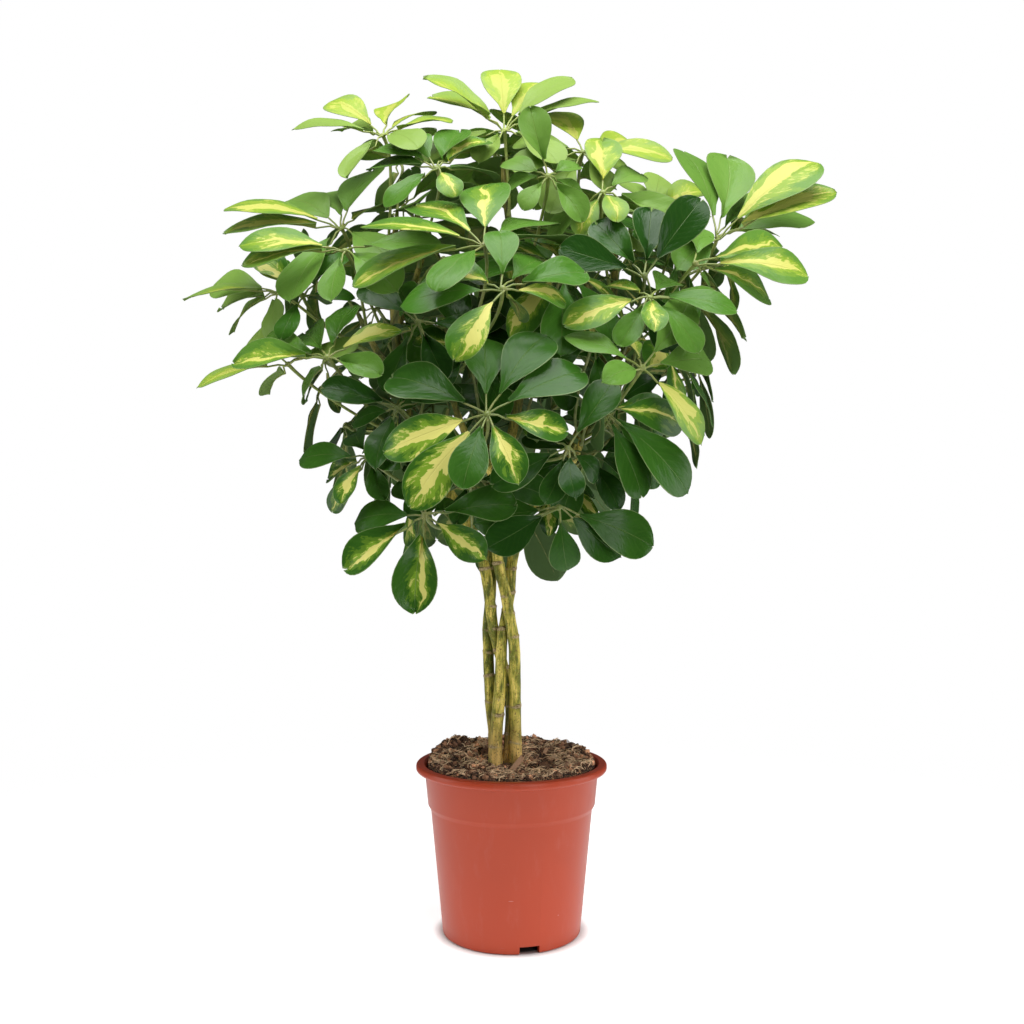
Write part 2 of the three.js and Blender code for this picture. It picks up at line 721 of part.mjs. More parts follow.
// Rings of a leaflet after its root: [right edge, keel, left edge] each, and the tip.
function leafletRings(hub, step, faces) {
  const length = step.length();
  const along = step.clone().normalize();
  const up = faces.clone().addScaledVector(along, -faces.dot(along)).normalize();
  const arch = up.clone().multiplyScalar(2 * SHAPE.arch * length);
  const curve = new THREE.QuadraticBezierCurve3(
    hub.clone().addScaledVector(along, HUB.top),
    hub.clone().addScaledVector(step, 0.5).add(arch),
    hub.clone().add(step),
  );
  const blade = length * (1 - SHAPE.stalk);
  const slim = THREE.MathUtils.mapLinear(hub.z, HIDDEN.low, HIDDEN.high, ...SHAPE.slim);
  const width = blade * slim;
  const right = along.clone().cross(up);
  const ring = (share, wide, keel) => {
    const centre = curve.getPoint(share);
    const above = curve.getTangent(share).cross(right).negate().normalize();
    return [
      centre.clone().addScaledVector(right, wide / 2),
      centre.clone().addScaledVector(above, -keel),
      centre.clone().addScaledVector(right, -wide / 2),
    ];
  };
  const rings = [
    ring(SHAPE.stalk, SHAPE.stalkWidth, BLADE_KEEL),
    ...SHAPE.stations.map((at, i) => {
      const share = SHAPE.stalk + (1 - SHAPE.stalk) * at;
      return ring(share, width * SHAPE.widths[i], BLADE_KEEL * (1 - 0.3 * at));
    }),
  ];
  return { rings, tip: curve.getPoint(1).addScaledVector(up, -SHAPE.tipDrop), right };
}

function leafletChunks(owner, hub, { rings, tip, right }) {
  const stations = [[hub], ...rings, [tip]];
  return stations.slice(1).map((to, i) => {
    const from = stations[i];
    const forward = middle(to).sub(middle(from)).normalize();
    const above = forward.clone().cross(right).negate().normalize();
    return chunk(owner, [...from, ...to], [forward, right, above]);
  });
}

// The room that a hub needs for its stalks, kept free of other leaves.
function hubChunk(owner, hub) {
  const axes = [vec(1, 0, 0), vec(0, 1, 0), vec(0, 0, 1)];
  const ends = (axis) => [HUB_ROOM, -HUB_ROOM].map((reach) => hub.clone().addScaledVector(axis, reach));
  return chunk(owner, axes.flatMap(ends), axes);
}

// Every place along the stems and shoots in the crown where a petiole can sit.
function seatsOn(stems) {
  return Object.entries(stems).flatMap(([name, { line, shoots }]) =>
    [line, ...shoots].flatMap((path, which) =>
      path.slice(1).flatMap((to, i) => {
        const from = path[i];
        const along = vec(to[0] - from[0], to[1] - from[1], to[2] - from[2]).normalize();
        return [0.3, 0.5, 0.7].map((share) => {
          const [x, y, z, radius] = from.map((value, k) => value + (to[k] - value) * share);
          return { owner: `${name} ${which}`, piece: i, at: vec(x, y, z), along, radius };
        });
      }),
    ),
  );
}

function petioleRings(seat, hub, faces) {
  const out = hub.clone().sub(seat.at);
  out.addScaledVector(seat.along, -out.dot(seat.along)).normalize();
  const foot = seat.at.clone().addScaledVector(out, seat.radius + SEAT);
  const top = hub.clone().addScaledVector(faces, -HUB.drop - HUB.neck);
  const length = foot.distanceTo(top);
  const curve = new THREE.CubicBezierCurve3(
    foot,
    foot.clone().addScaledVector(out, 0.2 * length).addScaledVector(seat.along, 0.18 * length),
    top.clone().addScaledVector(faces, -0.34 * length),
    top,
  );
  const side = seat.along.clone().cross(out).normalize();
  return PETIOLE.stations.map((share) => {
    const centre = curve.getPoint(share);
    const along = share === 0 ? out : curve.getTangent(share);
    const across = side.clone().addScaledVector(along, -side.dot(along)).normalize();
    const third = along.clone().cross(across);
    const radius = share === 0 ? PETIOLE.foot : PETIOLE.radius;
    return [0, 120, 240].map((turn) =>
      centre
        .clone()
        .addScaledVector(across, radius * Math.cos(radians(turn)))
        .addScaledVector(third, radius * Math.sin(radians(turn))),
    );
  });
}

// The nearest seat below the hub from which a petiole reaches it clear of all that is in place.
function routePetiole(name, hub, faces, seats, placed) {
  const ideal = hub.clone().addScaledVector(faces, -PETIOLE.behind).add(vec(0, 0, -PETIOLE.below));
  const ranked = seats
    .map((seat) => {
      const length = seat.at.distanceTo(hub);
      const tooShort = Math.max(PETIOLE.shortest - length, 0) * 3;
      const tooLong = Math.max(length - PETIOLE.longest, 0) * 1.5;
      const tooHigh = Math.max(seat.at.z - hub.z + PETIOLE.leastRise, 0) * 2;
      return { seat, cost: seat.at.distanceTo(ideal) + tooShort + tooLong + tooHigh };
    })
    .sort((a, b) => a.cost - b.cost);
  for (const { seat } of ranked.slice(0, PETIOLE.choices)) {
    const rings = petioleRings(seat, hub, faces);
    const chunks = tubeChunks(name, rings);
    const room = (foot, other) => {
      const steps = other.owner === seat.owner ? Math.abs(other.piece - seat.piece) : Infinity;
      if (foot && steps === 0) return null;
      return foot && steps === 1 ? SEAT : PETIOLE_GAP;
    };
    const clear = (mine, foot) =>
      placed.every((other) => {
        const gap = room(foot, other);
        return gap === null || apart(mine, other, gap);
      });
    if (chunks.every((mine, i) => clear(mine, i === 0))) return { rings, chunks };
  }
  return null;
}

function bent(step, faces, { lift, swing, scale }) {
  const side = step.clone().cross(faces).normalize();
  return step
    .clone()
    .applyAxisAngle(side, radians(lift))
    .applyAxisAngle(faces, radians(swing))
    .multiplyScalar(scale);
}

// The leaflets of one umbrella, each bent clear of the leaves in place and of its own neighbours.
function growLeaflets(leaf, placed) {
  const grown = [];
  const own = leaf.petiole.chunks.slice(0, -1);
  for (const step of leaf.steps) {
    for (const change of BENDS) {
      const moved = bent(step, leaf.faces, change);
      const shape = leafletRings(leaf.hub, moved, leaf.faces);
      const chunks = leafletChunks(leaf.name, leaf.hub, shape);
      const blade = chunks.slice(1);
      const clearOfOthers = chunks.every((mine) =>
        placed.every((other) => other.owner === leaf.name || apart(mine, other, LEAFLET_GAP)),
      );
      const clearOfOwn = () =>
        blade.every((mine) => own.every((other) => apart(mine, other, NEIGHBOUR_GAP)));
      if (!clearOfOthers || !clearOfOwn()) continue;
      grown.push({ step: moved, shape });
      own.push(...blade);
      placed.push(...chunks);
      break;
    }
  }
  return grown;
}

function makeLeaf({ hub, faces, petiole }, leaflets) {
  const disc = discOf(faces);
  const sorted = leaflets
    .map(({ step, shape }) => ({ shape, angle: disc.angleOf(step) }))
    .sort((a, b) => a.angle - b.angle);
  const count = sorted.length;
  const even = (2 * Math.PI) / count;
  const start = sorted[0].angle;
  const around = sorted.map(({ angle }, i) => THREE.MathUtils.lerp(angle, start + even * i, HUB.evenness));
  const skin = new Skin();
  const underside = hub.clone().addScaledVector(faces, -HUB.drop);
  const lower = skin.add(
    ...around.map((angle) => underside.clone().addScaledVector(disc.at(angle), HUB.bottom)),
  );
  const upper = skin.add(
    ...around.map((angle, i) => {
      const before = i ? around[i - 1] : around[count - 1] - 2 * Math.PI;
      return hub.clone().addScaledVector(disc.at((angle + before) / 2), HUB.top);
    }),
  );
  const [crown] = skin.add(hub.clone().addScaledVector(faces, HUB.rise));
  skin.fan(upper, crown);
  sorted.forEach(({ shape }, i) => {
    const next = (i + 1) % count;
    skin.faces.push([lower[i], lower[next], upper[next]]);
    let ring = [upper[i], lower[i], upper[next]];
    for (const points of shape.rings) {
      const to = skin.add(...points);
      skin.tube(ring, to);
      ring = to;
    }
    skin.fan(ring, skin.add(shape.tip)[0]);
  });
  const down = [...petiole.rings].reverse().map((ring) => skin.add(...[...ring].reverse()));
  skin.stitch([...lower].reverse(), down[0]);
  down.slice(1).forEach((to, i) => skin.tube(down[i], to));
  skin.faces.push([...down.at(-1)]);
  return skin.geometry();
}

function spreadAt(z) {
  const rows = HIDDEN.spread;
  const i = Math.max(rows.findIndex(([height]) => height > z), 1);
  return THREE.MathUtils.mapLinear(z, rows[i - 1][0], rows[i][0], rows[i - 1][1], rows[i][1]);
}

// A place for a hidden leaf's hub: the emptiest of many draws in the crown's shell.
function emptiestPlace(hubs, random) {
  let best = null;
  for (let i = 0; i < HIDDEN.tries; i++) {
    const z = THREE.MathUtils.lerp(HIDDEN.low, HIDDEN.high, random());
    const angle = random() * 2 * Math.PI;
    const furthest = Math.max(spreadAt(z) - HIDDEN.inset, HIDDEN.nearest);
    const out = furthest * Math.sqrt(THREE.MathUtils.lerp(0.3, 1, random()));
    const hub = vec(out * Math.cos(angle), out * Math.sin(angle) * HIDDEN.deep, z);
    const room = Math.min(...hubs.map((other) => other.distanceTo(hub)));
    if (!best || room > best.room) best = { hub, room };
  }
  return best.hub;
}

function seenLeaf(row) {
  const hub = seenAt(row.hub, row.depth);
  const faces = vec(...row.faces).normalize();
  const droop = radians(DROOP.seen);
  const steps = row.tips.map((tip) => towards(tip, hub, faces, row.reach, droop));
  return { ...row, hub, faces, droop, steps };
}

// A hidden leaf faces outwards, and more upwards the higher it grows.
function hiddenLeaf(number, hubs, random) {
  const hub = emptiestPlace(hubs, random);
  const rise = THREE.MathUtils.mapLinear(hub.z, HIDDEN.low, HIDDEN.high, 0.35, 1.6);
  const faces = vec(hub.x, hub.y, 0).normalize().add(vec(0, 0, rise)).normalize();
  const reach = THREE.MathUtils.lerp(...HIDDEN.reach, random());
  const leaflets = random() < 0.5 ? 7 : 8;
  const name = `leaf_${String(number).padStart(2, "0")}`;
  return { name, hub, faces, steps: [], reach, leaflets, droop: radians(DROOP.hidden) };
}

// Every leaf's stalk finds its way first, and then the leaflets grow into the room that is left.
function growCrown() {
  const placed = Object.entries(STEMS).flatMap(([name, { line, shoots }]) =>
    [line, ...shoots].flatMap((path, which) =>
      tubeChunks(`${name} ${which}`, ringsAlong(path, which ? SHOOT_SIDES : STEM_SIDES)).map((made, i) => ({
        ...made,
        piece: i,
      })),
    ),
  );
  const seats = seatsOn(STEMS).filter((seat) => seat.at.z > CROWN_FOOT);
  const random = draws(HIDDEN.seed);
  const leaves = [];
  const settle = (leaf) => {
    const petiole = routePetiole(leaf.name, leaf.hub, leaf.faces, seats, placed);
    if (!petiole) return false;
    placed.push(...petiole.chunks, hubChunk(leaf.name, leaf.hub));
    leaves.push({ ...leaf, petiole });
    return true;
  };
  SEEN.map(seenLeaf).forEach((leaf) => {
    if (!settle(leaf)) throw new Error(`${leaf.name} has no clear way to a stem`);
  });
  let number = 1;
  while (number <= HIDDEN.count) {
    const hubs = leaves.map((leaf) => leaf.hub);
    if (settle(hiddenLeaf(number, hubs, random))) number += 1;
  }
  leaves.forEach((leaf) => {
    const disc = discOf(leaf.faces);
    leaf.steps = fillGaps(leaf.steps, disc, leaf.faces, leaf.leaflets, leaf.reach, leaf.droop, random);
    leaf.grown = growLeaflets(leaf, placed);
  });
  return leaves;
}

// ---------------------------------------------------------------------------- the whole plant

const leafColour = (z) => (z > 790 ? COLOURS.young : z > 640 ? COLOURS.green : COLOURS.dark);

place("pot", geometryOf(makePot()), COLOURS.terracotta, 0.45);
place("soil", geometryOf(makeSoil(Object.values(STEMS))), COLOURS.peat, 0.95);
Object.entries(STEMS).forEach(([name, stem]) => place(name, geometryOf(makeStem(stem)), COLOURS.bark, 0.7));
growCrown().forEach((leaf) => place(leaf.name, makeLeaf(leaf, leaf.grown), leafColour(leaf.hub.z), 0.4));

export default plant;
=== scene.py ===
"""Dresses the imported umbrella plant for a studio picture: pot, potting mix, twisted stems and leaves.

Metres, +Z up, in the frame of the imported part. The photograph is taken along +Y.
"""

import json
import math
import random
from contextlib import contextmanager

import bpy
import numpy as np
from mathutils import Euler, Matrix, Vector, noise
from mathutils.kdtree import KDTree

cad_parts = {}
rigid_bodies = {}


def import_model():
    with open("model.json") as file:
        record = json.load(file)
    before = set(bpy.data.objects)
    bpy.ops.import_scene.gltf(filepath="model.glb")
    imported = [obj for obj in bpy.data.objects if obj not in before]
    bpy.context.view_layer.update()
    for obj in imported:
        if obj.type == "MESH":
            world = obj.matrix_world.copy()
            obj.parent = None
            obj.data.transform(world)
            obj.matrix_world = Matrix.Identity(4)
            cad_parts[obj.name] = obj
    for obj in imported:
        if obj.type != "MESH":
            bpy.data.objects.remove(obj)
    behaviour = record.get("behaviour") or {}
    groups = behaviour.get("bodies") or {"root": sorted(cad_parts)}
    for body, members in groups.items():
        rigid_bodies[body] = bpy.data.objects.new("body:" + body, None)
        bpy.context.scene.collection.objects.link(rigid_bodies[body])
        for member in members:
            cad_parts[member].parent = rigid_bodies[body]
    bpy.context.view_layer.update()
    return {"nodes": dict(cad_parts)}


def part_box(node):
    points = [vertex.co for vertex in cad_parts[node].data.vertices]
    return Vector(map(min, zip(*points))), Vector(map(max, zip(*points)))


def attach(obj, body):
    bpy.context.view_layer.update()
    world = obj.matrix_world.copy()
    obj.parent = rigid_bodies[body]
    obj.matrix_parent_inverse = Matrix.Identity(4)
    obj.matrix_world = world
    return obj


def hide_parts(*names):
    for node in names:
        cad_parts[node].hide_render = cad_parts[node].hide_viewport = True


bl_info = {
    "name": "Potted Umbrella Plant",
    "version": (1, 0, 0),
    "blender": (4, 5, 0),
    "location": "3D View > Sidebar > Plant",
    "description": "Pot, potting mix, stems and variegated leaves around a packed umbrella plant",
    "category": "Add Mesh",
}

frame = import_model()
NODES = frame["nodes"]
POT_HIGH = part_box("pot")[1]
SOIL_LOW, SOIL_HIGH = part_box("soil")
MM = 0.001
STEM_NAMES = sorted(name for name in NODES if name.startswith("stem_"))
LEAF_NAMES = sorted(name for name in NODES if name.startswith("leaf_"))

# The photograph's camera: where it stood, and its 1024 x 1024 picture in pixels.
PICTURE = 1024
FOCAL_PIXELS = 1142
AXIS_PIXEL = 511.5  # the column in which the pot's axis shows
EYE = Vector((0, -1.26, 0.46))
FILM = 36  # millimetres

# ---------------------------------------------------------------------------- settings


class StudioSettings(bpy.types.PropertyGroup):
    floor_radius: bpy.props.FloatProperty(
        name="Floor radius", description="How far the plain floor reaches", default=1.1, unit="LENGTH"
    )
    floor_colour: bpy.props.FloatVectorProperty(
        name="Floor colour", description="Pale floor", default=(0.85, 0.85, 0.85), subtype="COLOR"
    )
    air: bpy.props.FloatProperty(
        name="Room light", description="How much light the white room gives the plant", default=0.09
    )
    overhead: bpy.props.FloatProperty(
        name="Overhead light", description="The large soft light above", default=62, unit="POWER"
    )
    front: bpy.props.FloatProperty(
        name="Front light", description="The soft light beside the camera", default=16, unit="POWER"
    )
    side: bpy.props.FloatProperty(
        name="Side lights", description="The two tall lights beside the plant", default=10, unit="POWER"
    )


class PotSettings(bpy.types.PropertyGroup):
    sides: bpy.props.IntProperty(name="Sides", description="Faces around the pot", default=144, min=24)
    wall: bpy.props.FloatProperty(
        name="Wall", description="Thickness of the moulded wall", default=1.9 * MM, unit="LENGTH"
    )
    colour: bpy.props.FloatVectorProperty(
        name="Plastic",
        description="Terracotta-coloured plastic",
        default=(0.385, 0.048, 0.016),
        subtype="COLOR",
    )


class SoilSettings(bpy.types.PropertyGroup):
    sides: bpy.props.IntProperty(name="Sides", description="Faces around the soil", default=180, min=24)
    ring_step: bpy.props.FloatProperty(
        name="Ring step", description="Distance between two rings of its top", default=2 * MM, unit="LENGTH"
    )
    crumbs: bpy.props.IntProperty(name="Crumbs", description="Lumps of peat on the surface", default=1700)
    fibres: bpy.props.IntProperty(name="Fibres", description="Coir fibres on the surface", default=1500)
    chips: bpy.props.IntProperty(name="Chips", description="Chips of bark on the surface", default=210)


class StemSettings(bpy.types.PropertyGroup):
    step: bpy.props.FloatProperty(
        name="Step", description="Distance between two rings of a stem", default=1.4 * MM, unit="LENGTH"
    )
    scar: bpy.props.FloatProperty(
        name="Scar", description="How far a leaf scar stands out", default=0.9 * MM, unit="LENGTH"
    )


class LeafSettings(bpy.types.PropertyGroup):
    along: bpy.props.IntProperty(name="Along", description="Faces along a blade", default=12, min=6)
    across: bpy.props.IntProperty(name="Across", description="Faces across a blade", default=4, min=2)
    thickness: bpy.props.FloatProperty(
        name="Blade", description="Thickness of a blade", default=0.5 * MM, unit="LENGTH"
    )
    fold: bpy.props.FloatProperty(
        name="Fold", description="How deep a blade folds along its midrib", default=3.0 * MM, unit="LENGTH"
    )
    wave: bpy.props.FloatProperty(
        name="Wave", description="How far a blade's edge waves", default=0.8 * MM, unit="LENGTH"
    )
    inner: bpy.props.IntProperty(
        name="Inner leaves", description="Most leaves that are added inside the crown", default=40, min=0
    )
    stalk: bpy.props.FloatProperty(
        name="Stalk", description="Radius of a leaf's stalk", default=1.6 * MM, unit="LENGTH"
    )


# ---------------------------------------------------------------------------- materials


# Sockets by number: of a colour Mix node, whose names aren't unique, and outputs of two more nodes.
MIX_FACTOR, MIX_FIRST, MIX_SECOND, MIX_RESULT = 0, 6, 7, 2
OBJECT_OUTPUT = 3
NUMBER_OUTPUT = 2


class Wire:
    """A number, colour or vector in a material, which Python's operators turn into nodes."""

    def __init__(self, finish, socket):
        self.finish = finish
        self.socket = socket

    def __add__(self, other):
        return self.finish.maths("ADD", self, other)

    def __sub__(self, other):
        return self.finish.maths("SUBTRACT", self, other)

    def __rsub__(self, other):
        return self.finish.maths("SUBTRACT", other, self)

    def __mul__(self, other):
        return self.finish.maths("MULTIPLY", self, other)

    def __truediv__(self, other):
        return self.finish.maths("DIVIDE", self, other)

    def __pow__(self, other):
        return self.finish.maths("POWER", self, other)

    def __abs__(self):
        return self.finish.maths("ABSOLUTE", self)

    __radd__ = __add__
    __rmul__ = __mul__

    def step(self, low, high):
        """0 below low and 1 above high, with a smooth rise between them."""
        settings = {"interpolation_type": "SMOOTHSTEP"}
        sockets = {"Value": self, "From Min": low, "From Max": high}
        return self.finish.node("ShaderNodeMapRange", settings, sockets)

    def wave(self):
        return self.finish.maths("SINE", self)


class Finish:
    """A material with a Principled shader, and short ways to add nodes to it."""

    def __init__(self, name):
        self.material = bpy.data.materials.new(name)
        self.material.use_nodes = True
        self.tree = self.material.node_tree
        self.shader = self.tree.nodes["Principled BSDF"]

    def node(self, kind, settings=None, sockets=None, output=0):
        """Adds a node, sets its settings and then its sockets, and gives one of its outputs."""
        made = self.tree.nodes.new(kind)
        for name, value in (settings or {}).items():
            if name == "stops":
                self.set_stops(made.color_ramp, value)
            else:
                setattr(made, name, value)
        for name, value in (sockets or {}).items():
            self.plug(made.inputs[name], value)
        return Wire(self, made.outputs[output])

    def plug(self, socket, value):
        if isinstance(value, Wire):
            self.tree.links.new(value.socket, socket)
        elif socket.type == "RGBA":
            socket.default_value = (*value[:3], 1)
        else:
            socket.default_value = value

    def set_stops(self, ramp, stops):
        while len(ramp.elements) < len(stops):
            ramp.elements.new(1)
        for element, (place, colour) in zip(ramp.elements, stops):
            element.position = place
            element.color = (*colour, 1)

    def maths(self, operation, *values):
        return self.node("ShaderNodeMath", {"operation": operation}, dict(enumerate(values)))

    def mix(self, factor, first, second):
        """The colour that lies factor of the way from first to second."""
        sockets = {MIX_FACTOR: factor, MIX_FIRST: first, MIX_SECOND: second}
        return self.node("ShaderNodeMix", {"data_type": "RGBA"}, sockets, MIX_RESULT)

    def coated(self, colour, coats):
        """The colour under coats of others, each given as (share that it covers, colour)."""
        for share, coat in coats:
            colour = self.mix(share, colour, coat)
        return colour

    def ramp(self, value, stops):
        return self.node("ShaderNodeValToRGB", {"stops": stops}, {"Fac": value})

    def place(self):
        return self.node("ShaderNodeTexCoord", output=OBJECT_OUTPUT)

    def stretched(self, vector, scale):
        return self.node("ShaderNodeMapping", None, {"Vector": vector, "Scale": scale})

    def noise(self, vector, scale, detail=2, roughness=0.5):
        sockets = {"Vector": vector, "Scale": scale, "Detail": detail, "Roughness": roughness}
        return self.node("ShaderNodeTexNoise", None, sockets)

    def streaks(self, vector, stretch, scale, detail, roughness):
        """Noise that is longer along an axis whose stretch is below 1."""
        return self.noise(self.stretched(vector, stretch), scale, detail, roughness)

    def parts(self, vector):
        split = self.tree.nodes.new("ShaderNodeSeparateXYZ")
        self.plug(split.inputs[0], vector)
        return [Wire(self, output) for output in split.outputs]

    def joined(self, x, y, z):
        return self.node("ShaderNodeCombineXYZ", None, {0: x, 1: y, 2: z})

    def mark(self, name):
        """A number that the piece carries at each of its points."""
        return self.node("ShaderNodeAttribute", {"attribute_name": name}, output=NUMBER_OUTPUT)

    def surface(self, colour, roughness, relief=None, depth=0.0, strength=1.0, shine=0.5):
        """Sets the shader. Shine is its specular level, and depth how far the relief stands out."""
        self.plug(self.shader.inputs["Base Color"], colour)
        self.plug(self.shader.inputs["Roughness"], roughness)
        self.shader.inputs["Specular IOR Level"].default_value = shine
        if relief is not None:
            sockets = {"Height": relief, "Distance": depth, "Strength": strength}
            self.plug(self.shader.inputs["Normal"], self.node("ShaderNodeBump", None, sockets))

    def let_light_through(self, share, colour):
        """Mixes in light that comes through from the other side, in one colour."""
        output = self.tree.nodes["Material Output"]
        through = self.node("ShaderNodeBsdfTranslucent", None, {"Color": colour})
        front = Wire(self, self.shader.outputs[0])
        mixed = self.node("ShaderNodeMixShader", None, {0: share, 1: front, 2: through})
        self.plug(output.inputs["Surface"], mixed)


# The small marks on the pot's front: how far to the side and up, half their width and half their height.
POT_MARKS = ((-0.5 * MM, 58 * MM, 3.4 * MM, 0.6 * MM), (49 * MM, 37 * MM, 0.8 * MM, 0.8 * MM))


def pot_plastic(colour):
    """Satin moulded plastic, a little dusty, with fine grain, light scuffs and two small marks."""
    finish = Finish("pot_plastic")
    place = finish.place()
    broad = finish.noise(place, 14, 3)
    grain = finish.noise(place, 900, 2)
    dust = finish.streaks(place, (1, 1, 0.35), 60, 5, 0.65).step(0.5, 0.8)
    scuff = finish.streaks(place, (1, 1, 9), 55, 4, 0.7).step(0.66, 0.72)
    pale = [0.55 * value + 0.34 for value in colour]
    bright = [1.16 * value for value in colour]
    tinted = finish.mix(broad.step(0.3, 0.75) * 0.35, colour, bright)
    x, y, z = finish.parts(place)
    in_front = 1 - y.step(-0.02, 0)
    marked = scuff * 0.05
    for mark_x, mark_z, wide, high in POT_MARKS:
        off = ((x - mark_x) / wide) ** 2 + ((z - mark_z) / high) ** 2
        marked = marked + (1 - (off + grain).step(0.7, 1.5)) * in_front * 0.3
    dusty = finish.mix(dust * 0.06 + marked, tinted, pale)
    rough = 0.32 + 0.1 * broad + 0.14 * dust + 0.1 * scuff
    finish.surface(dusty, rough, grain + broad * 0.6, depth=0.06 * MM, strength=0.5, shine=0.3)
    return finish.material


def peat():
    """The dark body of the potting mix."""
    finish = Finish("peat")
    place = finish.place()
    clods = finish.noise(place, 170, 6, 0.7)
    straw = finish.streaks(place, (1, 0.3, 1), 900, 3, 0.6).step(0.56, 0.64)
    black, brown, tan = (0.008, 0.003, 0.002), (0.06, 0.025, 0.011), (0.42, 0.20, 0.09)
    colour = finish.ramp(clods, [(0.44, black), (0.54, brown), (0.66, tan)])
    colour = finish.mix(straw * 0.8, colour, (0.62, 0.38, 0.19))
    finish.surface(colour, 0.95, clods + straw * 0.3, depth=1.2 * MM)
    return finish.material


def crumb_finish(name, dark, light):
    """Loose bits of the mix, each with its own tone."""
    finish = Finish(name)
    speck = finish.noise(finish.place(), 1300, 3, 0.6)
    colour = finish.mix(finish.mark("tone") * 0.85 + (speck - 0.4) * 0.5, dark, light)
    finish.surface(colour, 0.9, speck, depth=0.25 * MM)
    return finish.material


def bark():
    """Green and yellow streaked bark with brown specks, rough leaf scars and a brown foot, with painted
    shade in the grooves beside each scar and high up in the crown.
    """
    finish = Finish("stem_bark")
    place = finish.place()
    height = finish.parts(place)[2]
    streaks = finish.streaks(place, (1, 1, 0.09), 380, 4, 0.68)
    fields = finish.streaks(place, (1, 1, 0.4), 95, 3, 0.6)
    specks = finish.streaks(place, (1, 1, 0.7), 560, 3, 0.65)
    scar = finish.mark("scar")
    age = finish.mark("age")
    mixed = streaks * 0.62 + fields * 0.75 - age * 0.16
    from_moss_to_straw = [
        (0.52, (0.105, 0.130, 0.016)),
        (0.61, (0.230, 0.240, 0.030)),
        (0.69, (0.52, 0.45, 0.070)),
        (0.80, (0.90, 0.72, 0.17)),
    ]
    foot = (1 - height.step(0.18, 0.25)) * (fields + 0.25 * streaks).step(0.42, 0.66)
    scar_skin = finish.mix(specks.step(0.3, 0.7), (0.21, 0.135, 0.055), (0.60, 0.48, 0.25))
    coats = [
        (foot * 0.7, (0.86, 0.52, 0.19)),
        (specks.step(0.58, 0.63) * 0.8, (0.17, 0.085, 0.03)),
        ((1 - specks.step(0.34, 0.4)) * 0.35, (0.62, 0.56, 0.26)),
        ((scar * 1.3 - 0.1 + 0.3 * specks).step(0.15, 0.6), scar_skin),
        # Painted shade: near-black lines in the grooves just below and above each leaf scar.
        (finish.mark("groove").step(0.05, 0.7) * 0.9, (0.07, 0.036, 0.022)),
        # Painted shade: the bark turns dark green high up, where it stands in the shade of the crown.
        (height.step(0.50, 0.58) * 0.6, (0.06, 0.075, 0.020)),
    ]
    colour = finish.coated(finish.ramp(mixed, from_moss_to_straw), coats)
    rough = 0.5 + 0.3 * scar + 0.1 * age
    finish.surface(colour, rough, streaks * 0.7 + specks * 0.6, depth=0.6 * MM, shine=0.25)
    return finish.material


LIGHT_THROUGH_BLADE = (0.42, 0.62, 0.06)


